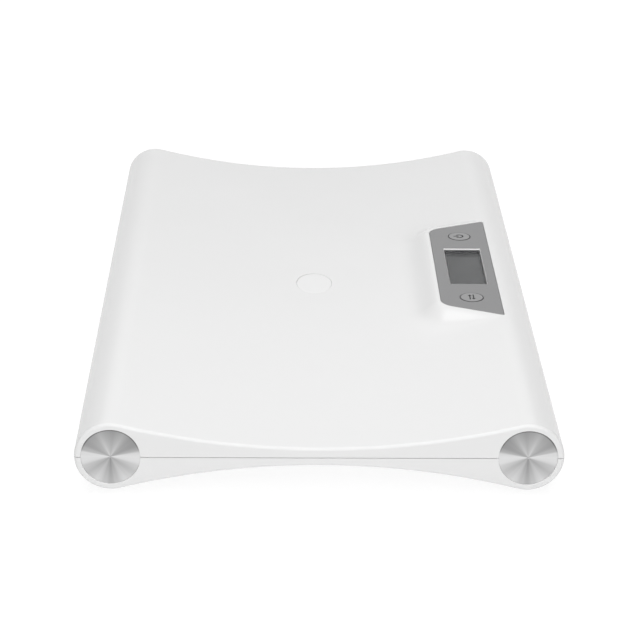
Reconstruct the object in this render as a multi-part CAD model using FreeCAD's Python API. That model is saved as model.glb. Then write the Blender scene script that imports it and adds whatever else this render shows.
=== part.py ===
import FreeCAD, Part
import math
import os

# Digital baby weighing scale, in millimetres.
# +X runs across the tray towards the control panel, +Y along it, +Z is up.
# The origin lies on the ground under the middle of the scale.

# Housing
length = 550.0             # along the tubes
tube_spacing = 264.0       # between the two tube axes
tube_radius = 23.0
tray_rise = 6.5            # tray's upper face above the joint plane, at mid-width
tray_drop = 6.0            # tray's lower face below the joint plane, at mid-width
ground_gap = 4.0           # under the tubes
wall = 2.5
end_wall = 4.0
edge_round = 2.5
joint_line = 0.5           # shadow groove where the shells meet
rib_thickness = 1.6
rib_pitch = 50.0
lip_height = 2.0
lip_thickness = 1.2

# End discs
disc_rim = 4.2             # of the tube's end left round a disc
disc_thickness = 1.2
disc_sink = 0.8            # face of a disc behind the tube's end
disc_chamfer = 0.25

# Control panel and pod
panel_width = 43.0
panel_middle = 2.0         # along Y from the housing's middle
panel_outer_half = 95.7    # half length along the tube's crest
panel_inner_half = 76.0    # half length along the tray's side
panel_inner_round = 12.0
panel_outer_round = 1.5
panel_thickness = 2.0
panel_sink = 0.3
pod_rim = 2.0
pod_side_flare = 16.0
pod_end_flare = 32.0
pod_depth = 14.0
pod_bevel = 1.2            # off the edge of the pod's flat top
pod_skin = 2.2             # under the panel

# Display and buttons
display_inset = 22.5       # middle of the display from the panel's inner edge
window_width = 27.0
window_length = 72.7
lens_margin = 2.0
lens_thickness = 1.2
glass_margin = 2.2
glass_thickness = 2.8
frame_height = 5.0
frame_wall = 1.0
zebra_width = 2.0
button_inset = 24.15       # from the panel's slanted ends, along the display's middle
button_radius = 8.2
button_proud = 0.2
button_round = 0.4
button_flange = 9.4
button_flange_thickness = 1.0
button_travel = 0.5
stem_radius = 2.5

# Circuit board
board_thickness = 1.6
board_inset = 5.0          # from the panel's inner edge
board_outer_inset = 3.0    # from the panel's outer edge
board_end_inset = 14.0     # from the panel's ends
board_hole_inset = 4.5
board_hole_end_inset = 8.0
switch_size = 6.0
switch_height = 3.5
switch_floor = 1.0
plunger_radius = 1.7
plunger_height = 2.0
chip_size = 12.0
chip_height = 1.8
chip_y = 20.0
can_radius = 2.5
can_height = 7.0
can_places = (-36.0, -26.0)
socket_width = 6.0
socket_length = 26.0
socket_offset = 9.0        # from the display's middle

# Feet and load cells
foot_inset = 70.0          # from the housing's ends
foot_wall = 2.0
foot_travel = 0.4          # that a load cell bends before its foot meets the stop
nub_radius = 4.0
pad_rim = 0.9              # of a foot left round its pad
pad_thickness = 2.2
pad_recess = 0.7
pad_round = 0.6
well_wall = 2.0
well_lip = 1.0             # holds a foot's flange
collar_rise = 0.5          # a foot's collar above the tube's lowest line
cell_thickness = 3.0
cell_level = 10.0          # underside of a load cell below the joint plane
cell_border = 5.0
cell_slot = 1.5
cell_tongue = 14.0         # width between the two long slots
retainer_thickness = 2.0
ear_width = 8.0
ear_reach = 4.5            # of a retainer's screws past the load cell

# Battery bay
battery_radius = 5.25
battery_length = 44.5
knob_radius = 1.9
knob_height = 1.0
bay_wall = 1.5
door_thickness = 2.0
tongue_width = 3.0
tongue_thickness = 1.2
tongue_reach = 2.5
tongue_spread = 3.0        # of the two tongues from the door's middle
scoop_radius = 9.0         # finger scoop beside the battery door
scoop_depth = 1.4
scoop_offset = 6.0
spring_length = 4.0
spring_turns = 3
coil_radius = 3.2
coil_wire = 0.3
contact_thickness = 0.4
tab_width = 2.0
tab_height = 2.0

# Screws
screw_radius = 1.45
screw_length = 10.0
screw_head_radius = 2.8
screw_head_height = 2.0
screw_seat = 5.0           # heads' seats below the joint plane
boss_radius = 4.6
small_screw_radius = 1.2
small_screw_length = 6.0
small_head_radius = 2.2
small_head_height = 1.6
small_boss_radius = 3.6
cross_width = 0.8
cross_reach = 0.6          # of the head's radius
screw_end_inset = 30.0     # screws in the tubes, from the housing's ends
screw_foot_gap = 40.0      # from the feet
screw_board_gap = 20.0     # from the circuit board's ends
tray_screw_x = 50.0
tray_screw_inset = 125.0

# Badge and leads
badge_width = 26.0
badge_length = 39.0
badge_middle = 6.4         # along Y from the housing's middle
badge_thickness = 0.8
lead_radius = 0.9
battery_lead_radius = 0.7
lead_bend = 14.0           # bend radius where there is room
lead_spacing = 6.0
lead_standoff = 4.0        # of a sensor lead's run from its load cell

# Clearances
seat_play = 0.15           # round a part that is let in
button_play = 0.4          # round a button's cap
slide_play = 0.4           # round a part that travels
plunger_play = 0.08
thread_play = 0.05
hole_play = 0.2            # round a screw that passes through
head_play = 0.4            # round a screw's head
tip_play = 0.3             # past a screw's tip
door_play = 0.35
battery_play = 0.65        # under the cells
cell_play = 0.9            # beside a load cell
face_play = 0.1

# Worked out from the sizes above
tube_x = tube_spacing / 2
end_y = length / 2
joint_z = ground_gap + tube_radius
pod_top = joint_z + tube_radius
disc_radius = tube_radius - disc_rim
rib_count = int((length - 2 * end_wall) // rib_pitch)
panel_top = pod_top - panel_sink
panel_floor = panel_top - panel_thickness
skin_under = panel_floor - pod_skin
panel_outer_x = tube_x + pod_rim / 4
panel_inner_x = panel_outer_x - panel_width
panel_slope = (panel_outer_half - panel_inner_half) / panel_width
display_x = panel_inner_x + display_inset
button_offset = panel_inner_half + panel_slope * display_inset - button_inset
lens_under = panel_floor - lens_thickness
glass_top = skin_under - face_play
glass_under = glass_top - glass_thickness
board_top = glass_under - frame_height
board_under = board_top - board_thickness
board_x0 = panel_inner_x + board_inset
board_x1 = panel_outer_x - board_outer_inset
board_half = panel_outer_half - board_end_inset
socket_x = display_x - socket_offset
cell_under = joint_z - cell_level
cell_top = cell_under + cell_thickness
cell_half = math.sqrt((tube_radius - wall) ** 2 - cell_level ** 2) - cell_play
retainer_top = cell_top + retainer_thickness
well_radius = cell_half - seat_play
foot_radius = well_radius - well_wall - slide_play
neck_radius = foot_radius - well_lip
pad_radius = neck_radius - pad_rim
well_ledge = ground_gap + well_lip + 1
foot_y = end_y - foot_inset
lane_offset = battery_radius + door_play
bay_half_x = lane_offset + battery_radius + 2 * slide_play
bay_half_y = battery_length + spring_length / 2 + contact_thickness
bay_reach = tube_radius - door_thickness - battery_play - battery_radius
battery_z = joint_z - math.sqrt(bay_reach ** 2 - lane_offset ** 2)
bay_ceiling = battery_z + battery_radius + battery_play
door_rise = math.sqrt((tube_radius - door_thickness) ** 2 - bay_half_x ** 2)
contact_low = joint_z - door_rise + slide_play
contact_high = bay_ceiling - face_play
door_half_y = bay_half_y + bay_wall
door_end_y = -door_half_y - door_play
seat_z = joint_z - screw_seat
badge_floor = joint_z + tray_rise - badge_thickness
window_near = panel_middle - window_length / 2
window_far = panel_middle + window_length / 2
button_places = (("unit", panel_middle - button_offset), ("power", panel_middle + button_offset))
corners = [("front_left", -1, -1), ("front_right", 1, -1), ("back_left", -1, 1), ("back_right", 1, 1)]
shell_screw = (screw_radius, screw_length, screw_head_radius, screw_head_height)
small_screw = (small_screw_radius, small_screw_length, small_head_radius, small_head_height)


def point(x, y, z):
    return FreeCAD.Vector(x, y, z)


def box(x0, x1, y0, y1, z0, z1):
    return Part.makeBox(x1 - x0, y1 - y0, z1 - z0, point(x0, y0, z0))


def square(x, y, half, z0, z1):
    return box(x - half, x + half, y - half, y + half, z0, z1)


def post(x, y, z0, z1, radius):
    return Part.makeCylinder(radius, z1 - z0, point(x, y, z0))


def oval(x, y, z0, z1, half_x, half_y):
    """An upright block with an elliptic outline that is longest along Y."""
    outline = Part.Ellipse(point(x, y + half_y, z0), point(x + half_x, y, z0), point(x, y, z0))
    return Part.Face(Part.Wire(outline.toShape())).extrude(point(0, 0, z1 - z0))


def bar(x, z, y0, y1, radius):
    return Part.makeCylinder(radius, y1 - y0, point(x, y0, z), point(0, 1, 0))


def joined(shapes):
    return shapes[0].multiFuse(shapes[1:]).removeSplitter() if len(shapes) > 1 else shapes[0]


def section(radius, middle, y0, y1, up):
    """Half of the housing's section, above (up = 1) or below (up = -1) the joint plane."""
    sag_radius = (tube_x ** 2 + middle ** 2 - radius ** 2) / (2 * (radius - middle))
    share = radius / (radius + sag_radius)
    meet_x = tube_x * (1 - share)
    meet_z = share * (middle + sag_radius)

    def at(x, z):
        return point(x, y0, joint_z + up * z)

    edges = [
        Part.Arc(at(-tube_x - radius, 0), at(-tube_x, radius), at(-meet_x, meet_z)).toShape(),
        Part.Arc(at(-meet_x, meet_z), at(0, middle), at(meet_x, meet_z)).toShape(),
        Part.Arc(at(meet_x, meet_z), at(tube_x, radius), at(tube_x + radius, 0)).toShape(),
        Part.LineSegment(at(tube_x + radius, 0), at(-tube_x - radius, 0)).toShape(),
    ]
    return Part.Face(Part.Wire(edges)).extrude(point(0, y1 - y0, 0))


def rounded_wire(points, radii, z):
    """A closed wire through the given corners, each rounded by its own radius."""
    count = len(points)
    starts, middles, ends = [], [], []
    for i in range(count):
        here = point(*points[i], z)
        before = (point(*points[i - 1], z) - here).normalize()
        after = (point(*points[(i + 1) % count], z) - here).normalize()
        half = math.acos(before.dot(after)) / 2
        reach = radii[i] / math.tan(half)
        centre = here + (before + after).normalize() * (radii[i] / math.sin(half))
        starts.append(here + before * reach)
        middles.append(centre + (here - centre).normalize() * radii[i])
        ends.append(here + after * reach)
    edges = []
    for i in range(count):
        edges.append(Part.Arc(starts[i], middles[i], ends[i]).toShape())
        edges.append(Part.LineSegment(ends[i], starts[(i + 1) % count]).toShape())
    return Part.Wire(edges)


def panel_wire(side, end, outer_x, z):
    """The panel's outline, grown by side towards the tray and by end at its slanted ends."""
    inner_x = panel_inner_x - side
    spread = end * math.hypot(1, panel_slope)
    inner_y = panel_inner_half + panel_slope * (inner_x - panel_inner_x) + spread
    outer_y = panel_inner_half + panel_slope * (outer_x - panel_inner_x) + spread
    near = [(inner_x, panel_middle - inner_y), (outer_x, panel_middle - outer_y)]
    far = [(outer_x, panel_middle + outer_y), (inner_x, panel_middle + inner_y)]
    inner_round = panel_inner_round + side
    radii = [inner_round, panel_outer_round, panel_outer_round, inner_round]
    return rounded_wire(near + far, radii, z)


def pod_form(top, skin):
    """The pod's swelling up to the height top, with its slopes moved in by skin."""
    side_step = pod_side_flare / pod_depth
    end_step = pod_end_flare / pod_depth

    def outline(z, outer_x):
        lowered = pod_top - z
        side = pod_rim + lowered * side_step - skin * math.hypot(1, side_step)
        end = pod_rim + lowered * end_step - skin * math.hypot(1, end_step)
        return panel_wire(side, end, outer_x, z)

    crest_x = panel_outer_x + pod_rim / 2
    upper = outline(top - pod_bevel / 2, crest_x)
    lower = outline(top - pod_depth, tube_x + tube_radius / 3)
    flat = panel_wire(pod_rim - pod_bevel, pod_rim - pod_bevel, crest_x - pod_bevel / 2, top)
    sections = [flat, upper, lower] if skin == 0 else [outline(top, crest_x), lower]
    return Part.makeLoft(sections, True, True)


def panel_block(play, z0, z1):
    face = Part.Face(panel_wire(play, play, panel_outer_x + play, z0))
    return face.extrude(point(0, 0, z1 - z0))


def rounded_ends(shell):
    """Round the edges where the outer surfaces meet the two ends."""
    edges = []
    for edge in shell.Edges:
        bounds = edge.BoundBox
        flat = bounds.YLength < 0.01 and abs(abs(bounds.YMin) - end_y) < 0.01
        if flat and bounds.ZLength > 0.01:
            edges.append(edge)
    return shell.makeFillet(edge_round, edges)


def screw_places():
    """The shells' screws, three along each half of a tube and one in each quarter of the tray."""
    rows = (board_half + screw_board_gap, foot_y - screw_foot_gap, end_y - screw_end_inset)
    places = []
    for side in (-1, 1):
        for end in (-1, 1):
            places += [(side * tube_x, end * y) for y in rows]
            places.append((side * tray_screw_x, end * (end_y - tray_screw_inset)))
    return places


def board_screw_places():
    columns = (board_x0 + board_hole_inset, board_x1 - board_hole_inset)
    row = board_half - board_hole_end_inset
    return [(x, end * row) for x in columns for end in (-1, 1)]


def retainer_screw_places():
    reach = cell_half + ear_reach
    return [(side * tube_x, end * foot_y + step * reach) for name, side, end in corners for step in (-1, 1)]


def rib_boxes(up):
    """Ribs across the tray, clear of the pod on the upper side."""
    ribs = []
    reach = tube_x - tube_radius - wall
    half = rib_thickness / 2
    for i in range(rib_count):
        y = (i - (rib_count - 1) / 2) * rib_pitch
        near_pod = up > 0 and abs(y - panel_middle) < panel_outer_half + pod_end_flare
        right = panel_inner_x - pod_side_flare - wall if near_pod else reach
        start = joint_z + up * hole_play
        tall = point(0, 0, up * tube_radius)
        foot = Part.makePlane(right + reach, 2 * half, point(-reach, y - half, start))
        ribs.append(foot.extrude(tall))
    return ribs


def disc_recesses():
    depth = disc_sink + disc_thickness
    radius = disc_radius + seat_play
    recesses = []
    for side in (-1, 1):
        recesses.append(bar(side * tube_x, joint_z, -end_y - 1, -end_y + depth, radius))
        recesses.append(bar(side * tube_x, joint_z, end_y - depth, end_y + 1, radius))
    return recesses


def slab(z0, z1):
    """A block that covers the whole scale between two heights."""
    reach = tube_x + 2 * tube_radius
    return box(-reach, reach, -end_y - 1, end_y + 1, z0, z1)


def display_block(margin, z0, z1):
    """A block as large as the display's window and a margin round it."""
    half = window_width / 2 + margin
    return box(display_x - half, display_x + half, window_near - margin, window_far + margin, z0, z1)


def badge_block(play, top):
    return oval(0, badge_middle, badge_floor, top, badge_width / 2 + play, badge_length / 2 + play)


def upper_shell():
    outside = rounded_ends(section(tube_radius, tray_rise, -end_y, end_y, 1))
    outside = outside.fuse(pod_form(pod_top, 0))
    inner_end = end_y - end_wall
    hollow = section(tube_radius - wall, tray_rise - wall, -inner_end, inner_end, 1)
    hollow = hollow.fuse(pod_form(skin_under, wall)).cut(panel_block(wall, skin_under, pod_top))
    kept = rib_boxes(1)
    kept += [post(x, y, joint_z, pod_top, boss_radius) for x, y in screw_places()]
    kept += [post(x, y, board_top, pod_top, small_boss_radius) for x, y in board_screw_places()]
    shell = outside.cut(hollow.cut(Part.makeCompound(kept))).cut(slab(0, joint_z))

    cuts = disc_recesses()
    cuts.append(panel_block(seat_play, panel_floor, pod_top + 1))
    cuts.append(display_block(0, skin_under - 1, pod_top))
    cuts.append(display_block(lens_margin + seat_play, lens_under, pod_top))
    for name, y in button_places:
        cuts.append(post(display_x, y, skin_under - 1, pod_top, button_flange + slide_play))
    cuts.append(badge_block(seat_play, pod_top))
    for x, y in screw_places():
        tip = seat_z + screw_length + tip_play
        cuts.append(post(x, y, joint_z - 1, tip, screw_radius + thread_play))
    for x, y in board_screw_places():
        tip = board_under + small_screw_length + tip_play
        cuts.append(post(x, y, board_top - 1, tip, small_screw_radius + thread_play))
    return shell.cut(Part.makeCompound(cuts))


def bay_block(grow, z0, z1):
    half_x = bay_half_x + grow
    half_y = bay_half_y + grow
    return box(tube_x - half_x, tube_x + half_x, -half_y, half_y, z0, z1)


def foot_wells():
    """What the wells, collars and retainer bosses add to the lower shell, and what is bored out."""
    inside, outside, bores = [], [], []
    for name, side, end in corners:
        x = side * tube_x
        y = end * foot_y
        inside.append(post(x, y, 0, cell_under, well_radius))
        outside.append(post(x, y, ground_gap + collar_rise, cell_under, well_radius))
        bores.append(post(x, y, well_ledge, cell_under, foot_radius + slide_play))
        bores.append(post(x, y, 0, well_ledge, neck_radius + slide_play))
    tip = retainer_top - small_screw_length - tip_play
    for x, y in retainer_screw_places():
        inside.append(post(x, y, 0, cell_top, small_boss_radius))
        bores.append(post(x, y, tip, cell_top + 1, small_screw_radius + thread_play))
    return inside, outside, bores


def door_openings():
    """The battery door's opening, the slot for its tongues and a finger scoop."""
    inside = section(tube_radius - wall, tray_drop - wall, -end_y, end_y, -1)
    opening = box(tube_x - bay_half_x, tube_x + bay_half_x, door_end_y, door_half_y + door_play, 0, joint_z)
    reach = 2 * tongue_spread
    room_front = door_end_y - tongue_reach - bay_wall
    room_back = -bay_half_y + bay_wall / 2
    room_z = ground_gap + wall
    tongue_room = box(tube_x - reach, tube_x + reach, room_front, room_back, room_z, room_z + 2 * wall)
    centre = point(tube_x, door_half_y + scoop_offset, ground_gap + scoop_depth - scoop_radius)
    return [opening.cut(inside), tongue_room, Part.makeSphere(scoop_radius, centre)]


def tab_slots():
    """Slots in the bay's ceiling for the contacts' solder tabs."""
    slots = []
    for side in (-1, 1):
        x = tube_x + side * lane_offset
        half = tab_width / 2 + hole_play
        y0 = bay_half_y - contact_thickness - hole_play
        slots.append(box(x - half, x + half, y0, bay_half_y, bay_ceiling - 1, joint_z))
    return slots


def lower_shell():
    outside = rounded_ends(section(tube_radius, tray_drop, -end_y, end_y, -1))
    inner_end = end_y - end_wall
    hollow = section(tube_radius - wall, tray_drop - wall, -inner_end, inner_end, -1)
    wells, collars, bores = foot_wells()
    kept = rib_boxes(-1) + wells
    kept.append(bay_block(bay_wall, ground_gap, bay_ceiling + bay_wall))
    kept += [post(x, y, 0, joint_z, boss_radius) for x, y in screw_places()]
    shell = outside.cut(hollow.cut(Part.makeCompound(kept)))

    lips = []
    lip_y = inner_end - 1
    lip_x = tube_x + tube_radius - wall - seat_play - lip_thickness / 2
    half = lip_thickness / 2
    lip_foot = joint_z - 3 * lip_height
    for side in (-1, 1):
        x = side * lip_x
        lips.append(box(x - half, x + half, -lip_y, lip_y, lip_foot, joint_z + lip_height))
    shell = shell.fuse(lips + collars)

    cuts = disc_recesses() + bores + door_openings() + tab_slots()
    cuts.append(bay_block(0, 0, bay_ceiling))
    for x, y in screw_places():
        cuts.append(post(x, y, 0, seat_z, screw_head_radius + head_play))
        cuts.append(post(x, y, 0, joint_z + 1, screw_radius + hole_play))
    inset = end_y - joint_line
    core = section(tube_radius - joint_line, tray_drop - joint_line, -inset, inset, -1)
    groove = slab(joint_z - joint_line, joint_z).cut(core).cut(Part.makeCompound(lips))
    return shell.cut(Part.makeCompound(cuts)).cut(groove)


def end_disc(side, end):
    y = end * (end_y - disc_sink)
    low = min(y, y - end * disc_thickness)
    disc = bar(side * tube_x, joint_z, low, low + disc_thickness, disc_radius)
    rim = [edge for edge in disc.Edges if abs(edge.BoundBox.YMin - y) + edge.BoundBox.YLength < 0.01]
    return disc.makeChamfer(disc_chamfer, rim)


def control_panel():
    plate = panel_block(0, panel_floor, panel_top)
    cuts = [display_block(0, panel_floor - 1, pod_top)]
    hole = button_radius + button_play
    for name, y in button_places:
        cuts.append(post(display_x, y, panel_floor - 1, pod_top, hole))
    return plate.cut(Part.makeCompound(cuts))


def save_display():
    save("display_lens", display_block(lens_margin, lens_under, panel_floor))
    save("lcd_glass", display_block(glass_margin, glass_under, glass_top))
    pocket = display_block(glass_margin, board_top - 1, glass_under + 1)
    save("lcd_frame", display_block(glass_margin + frame_wall, board_top, glass_under).cut(pocket))
    margin = glass_margin - frame_wall
    y0 = window_near - margin
    y1 = window_far + margin
    strip_x = window_width / 2 + margin - zebra_width / 2
    for name, side in (("zebra_strip_inner", -1), ("zebra_strip_outer", 1)):
        x = display_x + side * strip_x
        half = zebra_width / 2
        save(name, box(x - half, x + half, y0, y1, board_top, glass_under))
    light = strip_x - zebra_width
    save("backlight", box(display_x - light, display_x + light, y0, y1, board_top, glass_under))


def save_board():
    board = box(board_x0, board_x1, -board_half, board_half, board_under, board_top)
    for x, y in board_screw_places():
        board = board.cut(post(x, y, board_under - 1, board_top + 1, small_screw_radius + hole_play))
    save("main_board", board)
    half = chip_size / 2
    chip = square(display_x, chip_y, half, board_under - chip_height, board_under)
    save("control_chip", chip)
    cans = [post(display_x + half, y, board_under - can_height, board_under, can_radius) for y in can_places]
    save("board_capacitors", Part.makeCompound(cans))
    half_x = socket_width / 2
    half_y = socket_length / 2
    socket_z = board_under - socket_width
    save("lead_socket", box(socket_x - half_x, socket_x + half_x, -half_y, half_y, socket_z, board_under))
    screws = [screw(x, y, board_under, small_screw, 1) for x, y in board_screw_places()]
    save("board_screws", Part.makeCompound(screws))


def save_button(name, y):
    """A cap held under the panel by its flange, the tact switch below it and that switch's plunger."""
    flange_top = panel_floor - face_play
    cap_top = panel_top + button_proud
    cap = post(display_x, y, flange_top - face_play, cap_top, button_radius)
    edges = [edge for edge in cap.Edges if edge.BoundBox.ZMin > cap_top - 0.01]
    flange = post(display_x, y, flange_top - button_flange_thickness, flange_top, button_flange)
    switch_top = board_top + switch_height
    plunger_top = switch_top + plunger_height
    stem = post(display_x, y, plunger_top, flange_top, stem_radius)
    save(name + "_button", joined([cap.makeFillet(button_round, edges), flange, stem]))
    housing = square(display_x, y, switch_size / 2, board_top, switch_top)
    bore_floor = board_top + switch_floor
    bore = post(display_x, y, bore_floor, switch_top + 1, plunger_radius + plunger_play)
    save(name + "_switch", housing.cut(bore))
    plunger_foot = bore_floor + button_travel + hole_play
    save(name + "_plunger", post(display_x, y, plunger_foot, plunger_top, plunger_radius))


def foot(x, y):
    """A hollow cup whose flange stays in the well and whose nub carries the load cell."""
    flange_low = well_ledge + seat_play
    flange_top = cell_under - foot_travel - thread_play
    neck = post(x, y, pad_thickness - pad_recess, flange_low + 1, neck_radius)
    flange = post(x, y, flange_low, flange_top, foot_radius)
    hollow = post(x, y, flange_low + foot_wall, flange_top + 1, foot_radius - foot_wall)
    nub = post(x, y, flange_low, cell_under, nub_radius)
    cup = neck.fuse(flange).cut(hollow).fuse(nub).removeSplitter()
    return cup.cut(post(x, y, 0, pad_thickness, pad_radius + thread_play))


def foot_pad(x, y):
    pad = post(x, y, 0, pad_thickness, pad_radius)
    low = [edge for edge in pad.Edges if edge.BoundBox.ZMax < 0.01]
    return pad.makeFillet(pad_round, low)


def load_cell(x, y):
    """A steel plate whose three slots leave a tongue that bends."""
    cell = square(x, y, cell_half, cell_under, cell_top)
    reach = cell_half - cell_border
    half = cell_slot / 2
    for side in (-1, 1):
        slot_x = x + side * cell_tongue / 2
        cell = cell.cut(box(slot_x - half, slot_x + half, y - reach, y + reach, 0, cell_top + 1))
    across = cell_tongue / 2
    return cell.cut(box(x - across, x + across, y + reach - cell_slot, y + reach, 0, cell_top + 1))


def cell_retainer(x, y):
    """A frame that holds a load cell down, with two screwed ears."""
    ear = ear_width / 2
    reach = cell_half + ear_reach + small_boss_radius
    ears = box(x - ear, x + ear, y - reach, y + reach, cell_top, retainer_top)
    frame = joined([square(x, y, cell_half, cell_top, retainer_top), ears])
    frame = frame.cut(square(x, y, cell_half - cell_border, 0, joint_z))
    for step in (-1, 1):
        hole_y = y + step * (cell_half + ear_reach)
        frame = frame.cut(post(x, hole_y, 0, joint_z, small_screw_radius + hole_play))
    return frame


def battery_door():
    """The door's curved plate with two tongues at its front end."""
    half_x = bay_half_x - door_play
    blank = box(tube_x - half_x, tube_x + half_x, -door_half_y, door_half_y, 0, battery_z)
    inside = section(tube_radius - door_thickness, tray_drop - door_thickness, -end_y, end_y, -1)
    parts = [blank.common(section(tube_radius, tray_drop, -end_y, end_y, -1)).cut(inside)]
    heel = ground_gap + wall + seat_play
    half = tongue_width / 2
    tip = door_end_y - tongue_reach
    root = -door_half_y + tongue_reach + bay_wall
    stem_end = -door_half_y + door_play
    for side in (-1, 1):
        x = tube_x + side * tongue_spread
        parts.append(box(x - half, x + half, tip, root, heel, heel + tongue_thickness))
        parts.append(box(x - half, x + half, stem_end, root, ground_gap + 1, heel + seat_play))
    return joined(parts)


def battery(lane, row):
    """A cell along Y. Its knob points away from the lane's spring."""
    x = tube_x + lane * lane_offset
    y0 = -bay_half_y + contact_thickness + (spring_length if lane < 0 else 0)
    y0 += battery_length if row > 0 else 0
    y1 = y0 + battery_length
    knob_end = (y1 - knob_height, y1) if lane < 0 else (y0, y0 + knob_height)
    can_end = (y0, y1 - knob_height) if lane < 0 else (y0 + knob_height, y1)
    return joined([bar(x, battery_z, *can_end, battery_radius), bar(x, battery_z, *knob_end, knob_radius)])


def coil(x, y, direction):
    """A contact spring, wound round a line along Y."""
    gap = face_play / 2
    rise = spring_length - 2 * (coil_wire + gap)
    helix = Part.makeHelix(rise / spring_turns, rise, coil_radius)
    ring = Part.Wire(Part.makeCircle(coil_wire, point(coil_radius, 0, 0), point(0, 1, 0)))
    solid = Part.Wire(helix.Edges).makePipeShell([ring], True, True)
    solid.rotate(point(0, 0, 0), point(1, 0, 0), -90 * direction)
    solid.translate(point(x, y + direction * (coil_wire + gap), battery_z))
    return solid


def contact_plate(x0, x1, y0, tab_x):
    """A sheet contact across one end of the bay, with a solder tab through the ceiling."""
    plate = box(x0, x1, y0, y0 + contact_thickness, contact_low, contact_high)
    half = tab_width / 2
    tab_top = bay_ceiling + bay_wall + tab_height
    tab = box(tab_x - half, tab_x + half, y0, y0 + contact_thickness, contact_high - 1, tab_top)
    return joined([plate, tab])


def save_battery_bay():
    for index, (lane, row) in enumerate(((-1, -1), (-1, 1), (1, -1), (1, 1))):
        save("battery_" + str(index + 1), battery(lane, row))
    near = -bay_half_y
    far = bay_half_y - contact_thickness
    x0 = tube_x - bay_half_x + seat_play
    x1 = tube_x + bay_half_x - seat_play
    gap = 2 * slide_play
    save("bridge_contact", box(x0, x1, near, near + contact_thickness, contact_low, contact_high))
    save("positive_contact", contact_plate(x0, tube_x - gap, far, tube_x - lane_offset))
    save("negative_contact", contact_plate(tube_x + gap, x1, far, tube_x + lane_offset))
    save("lane_spring_1", coil(tube_x - lane_offset, near + contact_thickness, 1))
    save("lane_spring_2", coil(tube_x + lane_offset, far, -1))
    leads = []
    for side in (-1, 1):
        x = tube_x + side * lane_offset
        y = far + contact_thickness / 2
        top = bay_ceiling + bay_wall + tab_height
        target_x = display_x + socket_offset + side * lead_spacing / 2
        target_y = y - lead_spacing
        points = [(x, y, top), (x, y, top + lead_spacing)]
        points += [(target_x, target_y, board_under - lead_spacing), (target_x, target_y, board_under)]
        leads.append(lead(points, battery_lead_radius))
    save("battery_leads", Part.makeCompound(leads))


def rounded_path(points, radius):
    """Straight runs joined by tangent arcs."""
    vertices = [point(*p) for p in points]
    edges = []
    start = vertices[0]
    for i in range(1, len(vertices) - 1):
        here = vertices[i]
        before = (vertices[i - 1] - here).normalize()
        after = (vertices[i + 1] - here).normalize()
        half = math.acos(before.dot(after)) / 2
        room = 0.45 * min((vertices[i - 1] - here).Length, (vertices[i + 1] - here).Length)
        bend = min(radius, room * math.tan(half))
        reach = bend / math.tan(half)
        centre = here + (before + after).normalize() * (bend / math.sin(half))
        entry = here + before * reach
        middle = centre + (here - centre).normalize() * bend
        leave = here + after * reach
        edges.append(Part.LineSegment(start, entry).toShape())
        edges.append(Part.Arc(entry, middle, leave).toShape())
        start = leave
    edges.append(Part.LineSegment(start, vertices[-1]).toShape())
    return Part.Wire(edges)


def lead(points, radius):
    """A round lead along a rounded path."""
    path = rounded_path(points, lead_bend)
    direction = point(*points[1]) - point(*points[0])
    ring = Part.Wire(Part.makeCircle(radius, point(*points[0]), direction))
    return path.makePipeShell([ring], True, False)


def sensor_lead(side, end):
    """The cable run from a load cell along its tube to the socket under the board."""
    step = lead_spacing / 2
    lane_y = end * (step if side > 0 else 3 * step)
    cell_z = (cell_under + cell_top) / 2
    socket_z = board_under - socket_width / 2
    start_x = side * (tube_x - cell_half)
    run_x = start_x - side * lead_standoff
    y = end * foot_y
    points = [(start_x, y, cell_z), (run_x, y, cell_z), (run_x, y - end * cell_half, joint_z)]
    face_x = socket_x + side * socket_width / 2
    near_x = face_x + side * lead_spacing
    if side < 0:
        points += [(run_x, lane_y, joint_z), (near_x - lead_spacing, lane_y, joint_z)]
    else:
        points.append((run_x, end * 4 * lead_spacing, joint_z))
    points += [(near_x, lane_y, socket_z), (face_x, lane_y, socket_z)]
    return lead(points, lead_radius)


def screw(x, y, seat, size, up):
    """A screw with a flat round head and a cross recess. Its shank runs from the seat towards up."""
    radius, run, head_radius, head_height = size
    shank = Part.makeCylinder(radius, run, point(x, y, seat), point(0, 0, up))
    head = Part.makeCylinder(head_radius, head_height, point(x, y, seat), point(0, 0, -up))
    outer = seat - up * head_height
    inner = seat - up * head_height / 2
    arm = head_radius * cross_reach
    half = cross_width / 2
    solid = head.fuse(shank)
    for a, b in ((arm, half), (half, arm)):
        solid = solid.cut(box(x - a, x + a, y - b, y + b, min(outer, inner), max(outer, inner)))
    return solid


def save(name, shape):
    sound = bool(shape.Solids) and all(solid.isValid() for solid in shape.Solids)
    print(name, len(shape.Solids), round(shape.Volume), "" if sound else "INVALID")
    shape.exportStep("parts/" + name + ".step")


def build():
    os.makedirs("parts", exist_ok=True)
    save("upper_shell", upper_shell())
    save("lower_shell", lower_shell())
    save("control_panel", control_panel())
    save("centre_badge", badge_block(0, joint_z + tray_rise))
    save("battery_door", battery_door())
    save_display()
    save_board()
    for name, y in button_places:
        save_button(name, y)
    save_battery_bay()
    for name, side, end in corners:
        x = side * tube_x
        y = end * foot_y
        save("end_disc_" + name, end_disc(side, end))
        save("foot_" + name, foot(x, y))
        save("foot_pad_" + name, foot_pad(x, y))
        save("load_cell_" + name, load_cell(x, y))
        save("cell_retainer_" + name, cell_retainer(x, y))
        save("sensor_lead_" + name, sensor_lead(side, end))
    screws = [screw(x, y, retainer_top, small_screw, -1) for x, y in retainer_screw_places()]
    save("retainer_screws", Part.makeCompound(screws))
    screws = [screw(x, y, seat_z, shell_screw, 1) for x, y in screw_places()]
    save("shell_screws", Part.makeCompound(screws))


build()
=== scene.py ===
import math

import bmesh
import bpy
from mathutils import Matrix, Vector


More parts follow.
